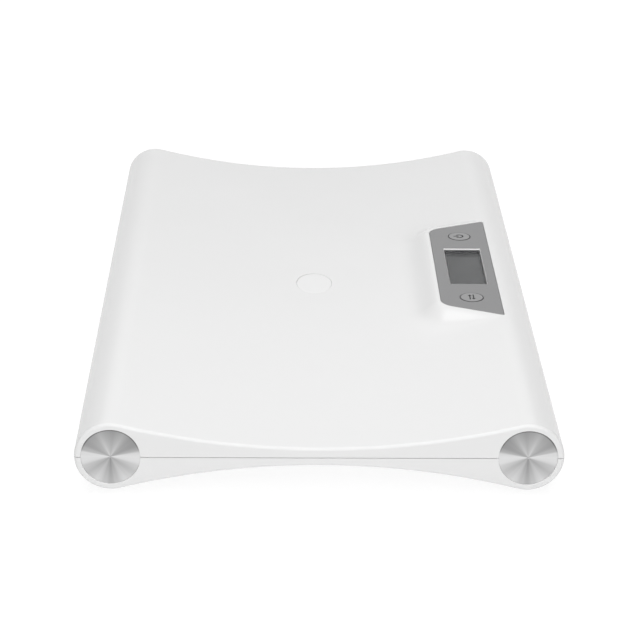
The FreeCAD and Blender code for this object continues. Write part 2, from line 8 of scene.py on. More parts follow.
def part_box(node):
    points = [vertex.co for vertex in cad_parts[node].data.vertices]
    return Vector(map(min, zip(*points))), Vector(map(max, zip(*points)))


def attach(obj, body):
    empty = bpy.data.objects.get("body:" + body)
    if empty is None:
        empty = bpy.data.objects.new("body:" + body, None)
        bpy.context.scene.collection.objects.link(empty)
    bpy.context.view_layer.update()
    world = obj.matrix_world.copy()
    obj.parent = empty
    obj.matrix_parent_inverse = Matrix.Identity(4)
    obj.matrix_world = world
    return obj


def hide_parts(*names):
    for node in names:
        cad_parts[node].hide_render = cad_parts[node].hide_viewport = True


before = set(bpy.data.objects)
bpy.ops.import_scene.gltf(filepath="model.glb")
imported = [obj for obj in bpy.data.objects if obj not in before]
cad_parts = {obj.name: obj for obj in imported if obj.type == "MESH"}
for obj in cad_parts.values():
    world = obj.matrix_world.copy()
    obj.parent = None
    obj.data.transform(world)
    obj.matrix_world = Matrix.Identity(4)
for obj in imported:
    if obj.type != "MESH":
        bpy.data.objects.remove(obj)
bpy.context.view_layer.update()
mm = 0.001
weldDistance = 0.001 * mm
beyond = 1 * mm  # how far a cutter reaches past the face it opens
glassGap = 0.1 * mm
print("frame loaded:", len(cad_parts), "nodes")

# sizes and places that the frame gives
shellLow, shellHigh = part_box("upper_shell")
plateLow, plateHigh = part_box("control_panel")
lensLow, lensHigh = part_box("display_lens")
glassLow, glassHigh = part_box("lcd_glass")
discLow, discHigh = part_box("end_disc_front_right")
badgeLow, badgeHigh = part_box("centre_badge")
badgeRadius = (badgeHigh.x - badgeLow.x) / 2
capLow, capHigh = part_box("power_button")
footLow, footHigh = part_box("foot_back_right")
padLow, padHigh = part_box("foot_pad_back_right")
doorLow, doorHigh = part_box("battery_door")
tubeX = (discLow.x + discHigh.x) / 2
jointZ = (discLow.z + discHigh.z) / 2
tubeRadius = shellHigh.x - tubeX
halfLength = shellHigh.y
crestZ = jointZ + tubeRadius
displayX = (lensLow.x + lensHigh.x) / 2
displayY = (lensLow.y + lensHigh.y) / 2
plateY = (plateLow.y + plateHigh.y) / 2
keyPlaces = {key: (displayX, sum(corner.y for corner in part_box(key + "_button")) / 2)
             for key in ("power", "unit")}
footY = (footLow.y + footHigh.y) / 2
skinUnder = glassHigh.z + glassGap


# a plan's millimetres as metres
def lengths(plan, *keys):
    return [plan[key] * mm for key in keys]


def vertsOf(made):
    return [item for item in made if isinstance(item, bmesh.types.BMVert)]


def facesOf(made):
    return [item for item in made if isinstance(item, bmesh.types.BMFace)]


# one vertex spun into a run of edges
def sweepArc(bm, vertex, centre, axis, angle, steps):
    made = bmesh.ops.spin(bm, geom=[vertex], cent=centre, axis=axis, dvec=(0, 0, 0),
                          angle=angle, steps=steps, use_merge=False, use_duplicate=False)
    return vertsOf(made["geom_last"])[0]


# the face extruded in place; the old face stays only where it is a block's base
def extrudeOn(bm, face):
    isBase = all(len(edge.link_faces) == 1 for edge in face.edges)
    made = bmesh.ops.extrude_face_region(bm, geom=[face])["geom"]
    if not isBase:
        bmesh.ops.delete(bm, geom=[face], context="FACES_ONLY")
    return facesOf(made)[0], vertsOf(made)


# a level face extruded by rise, with its outline grown by grow
def pushFace(bm, face, rise, grow=0.0):
    face, verts = extrudeOn(bm, face)
    bmesh.ops.translate(bm, verts=verts, vec=(0, 0, rise))
    if grow:
        low = Vector(min(v.co[axis] for v in verts) for axis in range(3))
        high = Vector(max(v.co[axis] for v in verts) for axis in range(3))
        middle, half = (low + high) / 2, (high - low) / 2
        share = (1 + grow / half.x, 1 + grow / half.y, 1)
        bmesh.ops.scale(bm, verts=verts, vec=share, space=Matrix.Translation(-middle))
    return face


# a quarter round above a face: sign -1 rounds a cap off, +1 flares a cutter out
def roundOver(bm, face, radius, sign, segments=4):
    for i in range(segments):
        a0, a1 = (math.pi / 2 * k / segments for k in (i, i + 1))
        rise = radius * (math.sin(a1) - math.sin(a0))
        grow = radius * (math.cos(a0) - math.cos(a1))
        face = pushFace(bm, face, rise, sign * grow)
    return face


# a level face with each corner rounded by its own radius
def outlineFace(bm, corners, rounds, z):
    verts = [bm.verts.new((x, y, z)) for x, y in corners]
    bm.faces.new(verts)
    offsets = []
    for i, radius in enumerate(rounds):
        before = (verts[i - 1].co - verts[i].co).normalized()
        after = (verts[(i + 1) % len(verts)].co - verts[i].co).normalized()
        offsets.append(radius / math.tan(before.angle(after) / 2))
    for vertex, offset in zip(verts, offsets):
        if offset:
            bmesh.ops.bevel(bm, geom=[vertex], offset=offset, offset_type="OFFSET", segments=8,
                            profile=0.5, affect="VERTICES", material=-1)
    bm.faces.ensure_lookup_table()
    return bm.faces[0]


def rectangle(x, y, halfX, halfY):
    return [(x - halfX, y - halfY), (x + halfX, y - halfY), (x + halfX, y + halfY), (x - halfX, y + halfY)]


# (radius, height) pairs spun about Z, then laid by a matrix
def lathe(profile, matrix=Matrix(), segments=96):
    bm = bmesh.new()
    verts = [bm.verts.new((radius, 0, height)) for radius, height in profile]
    edges = [bm.edges.new(pair) for pair in zip(verts, verts[1:])]
    bmesh.ops.spin(bm, geom=verts + edges, cent=(0, 0, 0), axis=(0, 0, 1), dvec=(0, 0, 0),
                   angle=2 * math.pi, steps=segments, use_merge=True, use_duplicate=False)
    bmesh.ops.remove_doubles(bm, verts=bm.verts, dist=weldDistance)
    bmesh.ops.transform(bm, matrix=matrix, verts=bm.verts)
    return bm


def meshObject(name, bm):
    bmesh.ops.recalc_face_normals(bm, faces=bm.faces)
    if bm.calc_volume(signed=True) < 0:
        bmesh.ops.reverse_faces(bm, faces=bm.faces)
    mesh = bpy.data.meshes.new(name)
    bm.to_mesh(mesh)
    bm.free()
    made = bpy.data.objects.new(name, mesh)
    bpy.context.scene.collection.objects.link(made)
    return made


def boxTool(x0, x1, y0, y1, z0, z1):
    bm = bmesh.new()
    outline = rectangle((x0 + x1) / 2, (y0 + y1) / 2, (x1 - x0) / 2, (y1 - y0) / 2)
    pushFace(bm, outlineFace(bm, outline, (0, 0, 0, 0), z0), z1 - z0)
    return meshObject("boxTool", bm)


# the same lathe form at several places, as one tool
def postTools(places, profile, segments=48):
    whole = bmesh.new()
    for x, y in places:
        part = lathe(profile, Matrix.Translation((x, y, 0)), segments)
        mesh = bpy.data.meshes.new("post")
        part.to_mesh(mesh)
        part.free()
        whole.from_mesh(mesh)
        bpy.data.meshes.remove(mesh)
    return meshObject("postTools", whole)


def post(radius, z0, z1):
    return [(0, z0), (radius, z0), (radius, z1), (0, z1)]


# three points that round a profile's edge, which lies at radius and level; a value below 0 flares it
def edgePoints(radius, level, across, down):
    share = 0.3
    middle = (radius - share * across, level - share * down)
    return [(radius, level - down), middle, (radius - across, level)]


# the same as a fine quarter round, after its first point
def quarterPoints(radius, level, across, down, steps):
    angles = [math.pi / 2 * i / steps for i in range(1, steps + 1)]
    return [(radius - across * (1 - math.cos(angle)), level - down * (1 - math.sin(angle)))
            for angle in angles]


# a lathe form stretched along Y to the badge's outline
def ovalBadge(profile):
    stretch = Matrix.Diagonal((1, (badgeHigh.y - badgeLow.y) / (2 * badgeRadius), 1, 1))
    return lathe(profile, Matrix.Translation((0, (badgeLow.y + badgeHigh.y) / 2, 0)) @ stretch, 128)


# a modifier with its settings, applied
def apply(piece, kind, **settings):
    change = piece.modifiers.new(kind.lower(), kind)
    for name, value in settings.items():
        setattr(change, name, value)
    graph = bpy.context.evaluated_depsgraph_get()
    made = bpy.data.meshes.new_from_object(piece.evaluated_get(graph))
    piece.modifiers.clear()
    old = piece.data
    piece.data = made
    bpy.data.meshes.remove(old)


# a boolean with each tool in turn, cleaned, and the tool removed
def combine(piece, tools, operation="DIFFERENCE"):
    for tool in tools:
        apply(piece, "BOOLEAN", operation=operation, solver="EXACT", object=tool)
        bm = bmesh.new()
        bm.from_mesh(piece.data)
        bmesh.ops.remove_doubles(bm, verts=bm.verts, dist=weldDistance)
        bmesh.ops.dissolve_degenerate(bm, dist=weldDistance, edges=bm.edges)
        bm.to_mesh(piece.data)
        bm.free()
        bpy.data.objects.remove(tool)


# smooth, with the flat faces' normals kept next to rounded edges
def shade(piece, material, sharpAngle=32):
    piece.data.materials.clear()
    piece.data.materials.append(material)
    piece.data.shade_smooth()
    piece.data.set_sharp_from_angle(angle=math.radians(sharpAngle))
    apply(piece, "WEIGHTED_NORMAL", keep_sharp=True)


def seat(piece, body, slot, *replaced):
    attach(piece, body)
    if replaced:
        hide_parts(*replaced)


def makePiece(name, bm, material, body, slot, *replaced, sharpAngle=32):
    piece = meshObject(name, bm)
    shade(piece, material, sharpAngle)
    seat(piece, body, slot, *replaced)


# a new node, set up and fed: each input is a value or another node's output
def feed(tree, kind, settings=None, **inputs):
    made = tree.nodes.new("ShaderNode" + kind)
    for name, value in (settings or {}).items():
        setattr(made, name, value)
    for name, value in inputs.items():
        socket = made.inputs[int(name[2:])] if name.startswith("at") else made.inputs[name.replace("_", " ")]
        if isinstance(value, bpy.types.NodeSocket):
            tree.links.new(value, socket)
        else:
            socket.default_value = value
    return made


def calculate(tree, operation, a, b=0.0, c=0.0):
    return feed(tree, "Math", {"operation": operation}, at0=a, at1=b, at2=c).outputs[0]


def vectorStep(tree, operation, **inputs):
    made = feed(tree, "VectorMath", {"operation": operation}, **inputs)
    return made.outputs["Value" if operation == "LENGTH" else "Vector"]


def objectPlace(tree):
    return feed(tree, "TexCoord").outputs["Object"]


def noiseAt(tree, where, scale, detail):
    return feed(tree, "TexNoise", Vector=where, Scale=scale, Detail=detail).outputs["Fac"]


def relief(tree, strength, distance, height):
    return feed(tree, "Bump", Strength=strength, Distance=distance, Height=height).outputs["Normal"]


# each named input linked to its source
def wire(tree, sockets, **sources):
    for name, source in sources.items():
        tree.links.new(source, sockets[name.replace("_", " ")])


def newGroup(name, inputs, outputs):
    group = bpy.data.node_groups.new(name, "ShaderNodeTree")
    for socket, kind in inputs:
        group.interface.new_socket(name=socket, in_out="INPUT", socket_type="NodeSocket" + kind)
    for socket, kind in outputs:
        group.interface.new_socket(name=socket, in_out="OUTPUT", socket_type="NodeSocket" + kind)
    return group, group.nodes.new("NodeGroupInput").outputs, group.nodes.new("NodeGroupOutput").inputs


surfaceOutputs = (("Color", "Color"), ("Roughness", "Float"), ("Normal", "Vector"))


# 1 plus amount times the noise's swing about its mean
def swing(tree, noise, amount):
    centred = calculate(tree, "SUBTRACT", noise, 0.5)
    return calculate(tree, "MULTIPLY_ADD", centred, amount, 1.0)


# mottled tone and gloss with a fine relief, as on moulded plastic
def grainGroup():
    group, source, sink = newGroup("surfaceGrain", (
        ("Tone", "Color"), ("Gloss", "Float"), ("Tone change", "Float"), ("Gloss change", "Float"),
        ("Grain per metre", "Float"), ("Relief", "Float")), surfaceOutputs)
    where = objectPlace(group)
    broad = noiseAt(group, where, 14, 4)
    fine = noiseAt(group, where, source["Grain per metre"], 2)
    tinted = vectorStep(group, "SCALE", at0=source["Tone"], Scale=swing(group, broad, source["Tone change"]))
    gloss = calculate(group, "MULTIPLY", source["Gloss"], swing(group, broad, source["Gloss change"]))
    wire(group, sink, Color=tinted, Roughness=gloss, Normal=relief(group, source["Relief"], 0.1 * mm, fine))
    return group


# fine parallel scratches, as on rolled or plated metal
def brushGroup():
    group, source, sink = newGroup("rolledStreaks", (
        ("Tone", "Color"), ("Gloss", "Float"), ("Streak change", "Float"),
        ("Across", "Vector")), surfaceOutputs)
    where = objectPlace(group)
    drawn = vectorStep(group, "MULTIPLY", at0=where, at1=source["Across"])
    streaks = noiseAt(group, drawn, 1, 3)
    change = swing(group, streaks, source["Streak change"])
    tinted = vectorStep(group, "SCALE", at0=source["Tone"], Scale=change)
    gloss = calculate(group, "MULTIPLY", source["Gloss"], change)
    wire(group, sink, Color=tinted, Roughness=gloss, Normal=relief(group, 0.25, 0.05 * mm, streaks))
    return group


surfaceGrain = grainGroup()
rolledStreaks = brushGroup()


def newMaterial(name, colour, roughness, metallic=0.0, **inputs):
    material = bpy.data.materials.new(name)
    material.use_nodes = True
    shader = material.node_tree.nodes["Principled BSDF"]
    shader.inputs["Base Color"].default_value = (*colour, 1)
    shader.inputs["Roughness"].default_value = roughness
    shader.inputs["Metallic"].default_value = metallic
    for key, value in inputs.items():
        shader.inputs[key.replace("_", " ")].default_value = value
    return material, material.node_tree, shader


def finish(tree, shader, group, **inputs):
    made = feed(tree, "Group", {"node_tree": group}, **inputs)
    for output, _ in surfaceOutputs:
        target = "Base Color" if output == "Color" else output
        tree.links.new(made.outputs[output], shader.inputs[target])


# plastic, rubber or glass with the shared grain
def grained(name, colour, roughness, toneChange, glossChange, perMetre, grain, **inputs):
    material, tree, shader = newMaterial(name, colour, roughness, **inputs)
    finish(tree, shader, surfaceGrain, Tone=(*colour, 1), Gloss=roughness, Tone_change=toneChange,
           Gloss_change=glossChange, Grain_per_metre=perMetre, Relief=grain)
    return material


# metal with the shared streaks, drawn out along the axis whose number in across is small
def brushed(name, colour, roughness, change, across):
    material, tree, shader = newMaterial(name, colour, roughness, 1.0)
    finish(tree, shader, rolledStreaks, Tone=(*colour, 1), Gloss=roughness, Streak_change=change,
           Across=across)
    return material


shellWhite = grained("shellWhite", (0.80, 0.80, 0.80), 0.24, 0.02, 0.25, 700, 0.06)
# brighter than the shell; paints the highlight line along the window's edge
highlightWhite = grained("highlightWhite", (0.9, 0.9, 0.9), 0.4, 0.02, 0.2, 1500, 0.05)
badgeWhite = grained("badgeWhite", (0.83, 0.83, 0.83), 0.2, 0.02, 0.2, 900, 0.05)
plateGrey = grained("plateGrey", (0.216, 0.216, 0.219), 0.42, 0.04, 0.2, 2600, 0.35, Specular_IOR_Level=0.35)
capGrey = grained("capGrey", (0.262, 0.262, 0.265), 0.4, 0.03, 0.2, 2200, 0.2, Specular_IOR_Level=0.35)
markDark = grained("markDark", (0.02, 0.02, 0.021), 0.6, 0.1, 0.2, 3000, 0.2, Specular_IOR_Level=0.2)
# dark for the display gasket, and as painted shade on the window's walls and in the gaps round the buttons
darkAndShade = grained("darkAndShade", (0.075, 0.075, 0.078), 0.4, 0.1, 0.2, 2500, 0.15)
plungerDark = grained("plungerDark", (0.06, 0.06, 0.06), 0.45, 0.1, 0.2, 2000, 0.2)
frameWhite = grained("frameWhite", (0.78, 0.78, 0.76), 0.45, 0.04, 0.2, 1200, 0.25)
lightGuide = grained("lightGuide", (0.82, 0.84, 0.85), 0.18, 0.03, 0.2, 500, 0.05, Coat_Weight=0.4)
chipBlack = grained("chipBlack", (0.03, 0.03, 0.032), 0.55, 0.25, 0.15, 5000, 0.6)
footGrey = grained("footGrey", (0.52, 0.53, 0.54), 0.4, 0.05, 0.2, 1500, 0.3)
padRubber = grained("padRubber", (0.055, 0.055, 0.058), 0.8, 0.25, 0.15, 2600, 0.9)
leadSheath = grained("leadSheath", (0.2, 0.21, 0.23), 0.45, 0.12, 0.25, 1800, 0.25)
screwSteel = brushed("screwSteel", (0.62, 0.62, 0.63), 0.32, 0.5, (4000, 4000, 400))
contactSteel = brushed("contactSteel", (0.68, 0.68, 0.69), 0.28, 0.4, (2500, 200, 2500))
cellSteel = brushed("cellSteel", (0.56, 0.56, 0.58), 0.36, 0.6, (3000, 120, 3000))
canMetal = brushed("canMetal", (0.7, 0.7, 0.72), 0.3, 0.35, (3500, 3500, 200))

# the camera
cameraPlan = {"place": (-25.3, -1542.4, 650.1), "pitch": 22.647, "yaw": 1.108, "roll": 0.656,
              "focalPixels": 2233.17, "framePixels": 640, "sensor": 36, "clip": (0.05, 40)}


def makeCamera(plan):
    lens = bpy.data.cameras.new("camera")
    lens.sensor_width = plan["sensor"]
    lens.lens = plan["focalPixels"] / plan["framePixels"] * lens.sensor_width
    lens.clip_start, lens.clip_end = plan["clip"]
    camera = bpy.data.objects.new("camera", lens)
    pitch, yaw, roll = (math.radians(plan[key]) for key in ("pitch", "yaw", "roll"))
    turn = Matrix.Rotation(-yaw, 4, "Z") @ Matrix.Rotation(math.pi / 2 - pitch, 4, "X")
    turn = turn @ Matrix.Rotation(roll, 4, "Z")
    camera.matrix_world = Matrix.Translation(Vector(plan["place"]) * mm) @ turn
    bpy.context.scene.collection.objects.link(camera)
    bpy.context.scene.camera = camera


makeCamera(cameraPlan)
print("camera placed")

# both shells
shellPlan = {
    "trayRise": 6.5, "trayDrop": 6.0, "wall": 2.5, "endWall": 4.0, "endRound": 2.0, "play": 0.15,
    "jointGroove": 0.45, "jointDepth": 1.3, "mouthRound": 0.25, "discPlay": 0.02, "plateMouth": 0.5,
    "borePlay": 0.4, "tubeSteps": 44, "trayStep": 4.0, "podStep": 2.0, "lengthStep": 11.0,
    "upperCoarse": 3, "lowerCoarse": 12,
}
podPlan = {
    "innerHalf": 76.0, "outerHalf": 95.7, "innerRound": 12.0, "outerRound": 1.5, "rim": 1.6,
    "sideSlope": 0.95, "endSlope": 0.45, "crestRound": 3.0, "footSharpness": 4.0, "blendLimit": 4.0,
    "reach": 132.0, "inside": 66.0, "sideMargin": 10.0, "endMargin": 1.0, "plateMargin": 4.0,
}
endLean = (podPlan["outerHalf"] - podPlan["innerHalf"]) * mm / (plateHigh.x - plateLow.x)


# radius of the tray's arc, whose middle lies rise from the joint
def trayRadius(rise, inset=0.0):
    radius, middle = tubeRadius - inset, rise - inset
    return (tubeX ** 2 + middle ** 2 - radius ** 2) / (2 * (radius - middle))


# half of the housing's section at y0: a quarter and a bit of each tube, and the tray's arc between them
def sectionFace(bm, rise, inset, y0, tubeSteps, trayStep, podStep=None):
    radius = tubeRadius - inset
    sag = trayRadius(rise, inset)
    turn = math.asin(tubeX / (radius + sag))
    split = math.asin(podPlan["inside"] * mm / sag) if podStep else 0
    first = bm.verts.new((tubeX + radius, y0, jointZ))
    right = Vector((tubeX, y0, jointZ))
    above = Vector((0, y0, jointZ + rise - inset + sag))
    left = Vector((-tubeX, y0, jointZ))
    last = sweepArc(bm, first, right, (0, -1, 0), math.pi / 2 + turn, tubeSteps)
    for angle, step in ((turn - split, podStep or trayStep), (turn + split, trayStep)):
        last = sweepArc(bm, last, above, (0, 1, 0), angle, round(angle * sag / step))
    last = sweepArc(bm, last, left, (0, -1, 0), math.pi / 2 + turn, tubeSteps)
    bm.edges.new((last, first))
    return bmesh.ops.contextual_create(bm, geom=bm.edges[:])["faces"][0]


# rounds the section's curved edge at both ends, not its straight edge at the joint
def roundEnds(bm, y1):
    rims = []
    for edge in bm.edges:
        a, b = (vertex.co for vertex in edge.verts)
        level = abs(a.y - b.y) < weldDistance
        if level and abs(abs(a.y) - y1) < weldDistance and (a - b).length < tubeX:
            rims.append(edge)
    bmesh.ops.bevel(bm, geom=rims, offset=shellPlan["endRound"] * mm, offset_type="OFFSET", segments=5,
                    profile=0.5, affect="EDGES", clamp_overlap=False, material=-1)


# the plate's outline, grown all round by grow metres
def plateCorners(grow=0.0):
    spread = grow * math.hypot(1, endLean)
    y0 = podPlan["innerHalf"] * mm - endLean * grow + spread
    y1 = podPlan["outerHalf"] * mm + endLean * grow + spread
    x0, x1 = plateLow.x - grow, plateHigh.x + grow
    return [(x0, plateY - y0), (x1, plateY - y1), (x1, plateY + y1), (x0, plateY + y0)]


def plateRounds():
    inner, outer = podPlan["innerRound"] * mm, podPlan["outerRound"] * mm
    return [inner, outer, outer, inner]


# how far the pod's own surface lies below its flat top
def podDrop(x, y):
    radius = podPlan["innerRound"] * mm
    cornerX, cornerY = plateCorners(podPlan["rim"] * mm - radius)[3]
    endNormal = Vector((-endLean, 1)).normalized()
    away = Vector((x - cornerX, abs(y - plateY) + plateY - cornerY))
    past = away.dot(endNormal)
    if past <= 0 and away.x >= 0:
        return 0.0
    along = away.dot(Vector((endNormal.y, -endNormal.x)))
    if away.x < 0 and away.y < 0:
        away = Vector((away.x, 0))
    elif past > 0 and along > 0:
        away = endNormal * past
    distance = away.length - radius
    if distance <= 0:
        return 0.0
    way = away.normalized()
    slope = podPlan["sideSlope"] * way.x ** 2 + podPlan["endSlope"] * way.y ** 2
    crest = podPlan["crestRound"] * mm
    return slope * (math.hypot(distance, crest) - crest)


# lifts the tray beside the right tube into the pod, whose foot blends into it
def swellPod(bm, inset, ceiling):
    power = podPlan["footSharpness"]
    crest = crestZ - inset
    least = 0.1 * weldDistance
    side, end, plate = lengths(podPlan, "sideMargin", "endMargin", "plateMargin")
    inside, reach = podPlan["inside"] * mm - side, podPlan["reach"] * mm + end
    for vertex in bm.verts:
        x, y, z = vertex.co
        if z > jointZ + 10 * weldDistance and inside < x < tubeX and abs(y) < reach:
            tray = crest - z
            pod = podDrop(x, y) + (crest - ceiling if ceiling else 0)
            if tray > least and pod < tray * podPlan["blendLimit"]:
                drop = 0 if pod < least else (tray ** -power + pod ** -power) ** (-1 / power)
                vertex.co.z = crest - drop
        if ceiling and plateLow.y < y < plateHigh.y and x > plateLow.x - plate:
            vertex.co.z = min(vertex.co.z, ceiling)


# the section drawn out along Y in steps of about width
def stretch(bm, face, length, width):
    count = round(length / width)
    for _ in range(count):
        face, verts = extrudeOn(bm, face)
        bmesh.ops.translate(bm, verts=verts, vec=(0, length / count, 0))
    return face


# the upper half of the housing as one block, its skin moved in by inset
def upperBlock(name, inset, y1, ceiling=None):
    coarse = shellPlan["upperCoarse"] if inset else 1
    step = shellPlan["podStep"] * mm * coarse
    bm = bmesh.new()
    face = sectionFace(bm, shellPlan["trayRise"] * mm, inset, -y1, shellPlan["tubeSteps"] // coarse,
                       shellPlan["trayStep"] * mm * coarse, step)
    reach = podPlan["reach"] * mm
    for length, width in ((y1 - reach, shellPlan["lengthStep"] * mm), (2 * reach, step),
                          (y1 - reach, shellPlan["lengthStep"] * mm)):
        face = stretch(bm, face, length, width)
    if not inset:
        roundEnds(bm, y1)
    swellPod(bm, inset, ceiling)
    return meshObject(name, bm)


# the block's flat side at the joint, made into one face
def jointFace(bm):
    bm.normal_update()
    flat = [face for face in bm.faces if face.calc_center_median().z < jointZ + weldDistance]
    return bmesh.ops.dissolve_faces(bm, faces=flat, use_verts=False)["region"][0]


# sets the joint face back and raises a smaller one on it, which leaves the shadow line
def stepJoint(bm):
    height, depth = lengths(shellPlan, "jointGroove", "jointDepth")
    joint = jointFace(bm)
    bmesh.ops.translate(bm, verts=list(joint.verts), vec=(0, 0, height))
    bmesh.ops.inset_region(bm, faces=[joint], thickness=depth, depth=0, use_even_offset=True)
    pushFace(bm, joint, -height)


# the lower half, built above the joint and then turned over; a hollow reaches past the joint
def lowerBlock(name, inset, y1):
    bm = bmesh.new()
    coarse = shellPlan["lowerCoarse"] if inset else 1
    face = sectionFace(bm, shellPlan["trayDrop"] * mm, inset, -y1, shellPlan["tubeSteps"],
                       shellPlan["trayStep"] * mm)
    stretch(bm, face, 2 * y1, shellPlan["lengthStep"] * mm * coarse)
    if inset:
        bmesh.ops.translate(bm, verts=list(jointFace(bm).verts), vec=(0, 0, -beyond))
    else:
        roundEnds(bm, y1)
        stepJoint(bm)
    bmesh.ops.scale(bm, verts=bm.verts, vec=(1, 1, -1), space=Matrix.Translation((0, 0, -jointZ)))
    return meshObject(name, bm)


# stands a lathe form's axis along Y, pointing out of the housing's end
def endMatrix(side, end, y):
    upright = Matrix.Rotation(math.pi / 2, 4, "X")
    facing = upright if end < 0 else Matrix.Rotation(math.pi, 4, "Z") @ upright
    return Matrix.Translation((side * tubeX, end * y, jointZ)) @ facing


corners = [("front_left", -1, -1), ("front_right", 1, -1), ("back_left", -1, 1), ("back_right", 1, 1)]


# a flared round cutter for each disc's recess
def endCutters():
    radius = (discHigh.x - discLow.x) / 2 + shellPlan["discPlay"] * mm
    depth = halfLength + discHigh.y
    mouth = shellPlan["mouthRound"] * mm
    profile = [(0, 0), (radius, 0), (radius, depth - mouth)] + quarterPoints(radius, depth, -mouth, mouth, 4)
    profile += [(radius + mouth, depth + 2 * beyond), (0, depth + 2 * beyond)]
    return [meshObject("discCutter", lathe(profile, endMatrix(side, end, halfLength - depth)))
            for _, side, end in corners]


def plateCutter(mouth):
    bm = bmesh.new()
    face = outlineFace(bm, plateCorners(shellPlan["play"] * mm), plateRounds(), plateLow.z)
    face = pushFace(bm, face, crestZ - mouth - plateLow.z)
    face = roundOver(bm, face, mouth, 1)
    pushFace(bm, face, 4 * beyond)
    return meshObject("plateCutter", bm)


windowPlan = {"lensMargin": 2.0, "wider": 0.4, "chamfer": 0.12, "cornerRound": 0.35, "rimHeight": 0.95,
              "rimLean": 0.3, "linerLean": 0.5, "linerEdge": 0.08, "linerGap": 0.04}
windowX = (lensHigh.x - lensLow.x) / 2 - (windowPlan["lensMargin"] - windowPlan["wider"]) * mm
windowY = (lensHigh.y - lensLow.y) / 2 - windowPlan["lensMargin"] * mm
flangeRadius = (capHigh.x - capLow.x) / 2


def makeUpperShell():
    wall, play = lengths(shellPlan, "wall", "play")
    shell = upperBlock("upperShell", 0, halfLength)
    hollow = upperBlock("hollow", wall, halfLength - shellPlan["endWall"] * mm, skinUnder)
    badge = meshObject("badgeTool", ovalBadge(post(badgeRadius + play, badgeLow.z, crestZ)))
    combine(shell, [hollow, badge] + endCutters())
    combine(shell, [plateCutter(shellPlan["plateMouth"] * mm)])
    below, above = skinUnder - 3 * beyond, crestZ
    window = boxTool(displayX - windowX, displayX + windowX, displayY - windowY, displayY + windowY,
                     below, above)
    bores = postTools(keyPlaces.values(), post(flangeRadius + shellPlan["borePlay"] * mm, below, above), 64)
    combine(shell, [window, bores])
    combine(shell, [boxTool(lensLow.x - play, lensHigh.x + play, lensLow.y - play, lensHigh.y + play,
                            lensLow.z, above)])
    shade(shell, shellWhite)
    seat(shell, "housing", "shell_white", "upper_shell")
    print("upper shell:", len(shell.data.polygons), "faces")


makeUpperShell()

lowerPlan = {
    "footWell": 16.85, "footBore": 13.85, "collarDrop": 0.5, "collarRound": 0.6, "ledgeRise": 2.0,
    "boreStep": 1.0, "screwWell": 3.2, "screwBoss": 4.6, "screwSeat": 22.0, "screwHole": 1.65,
    "mouthChamfer": 0.4, "bayWall": 1.5, "bayHalfX": 11.65, "bayHalfY": 46.9, "bayCeiling": 18.88,
    "doorPlay": 0.35, "openingDrop": 8.0,
    "tongueRoom": (6.0, 2.5, 6.5, 11.5), "scoopRadius": 9.0, "scoopDepth": 1.4, "scoopOffset": 6.0,
    "tubeScrews": (100.0, 165.0, 245.0), "trayScrew": (50.0, 150.0),
}


def screwPlaces():
    places = []
    for _, side, end in corners:
        places += [(side * tubeX, end * y * mm) for y in lowerPlan["tubeScrews"]]
        places.append((side * lowerPlan["trayScrew"][0] * mm, end * lowerPlan["trayScrew"][1] * mm))
    return places


# the block that the lower shell's thin wall leaves free, less the wells, bosses and battery bay
def lowerHollow(feet, screws):
    plan = lowerPlan
    hollow = lowerBlock("hollow", shellPlan["wall"] * mm, halfLength - shellPlan["endWall"] * mm)
    bayX, bayY = (plan["bayHalfX"] + plan["bayWall"]) * mm, (plan["bayHalfY"] + plan["bayWall"]) * mm
    bay = boxTool(tubeX - bayX, tubeX + bayX, -bayY, bayY, 0, (plan["bayCeiling"] + plan["bayWall"]) * mm)
    wells = postTools(feet, post(plan["footWell"] * mm, -beyond, footHigh.z))
    bosses = postTools(screws, post(plan["screwBoss"] * mm, -beyond, jointZ + beyond), 32)
    combine(hollow, [bay, wells, bosses])
    return hollow


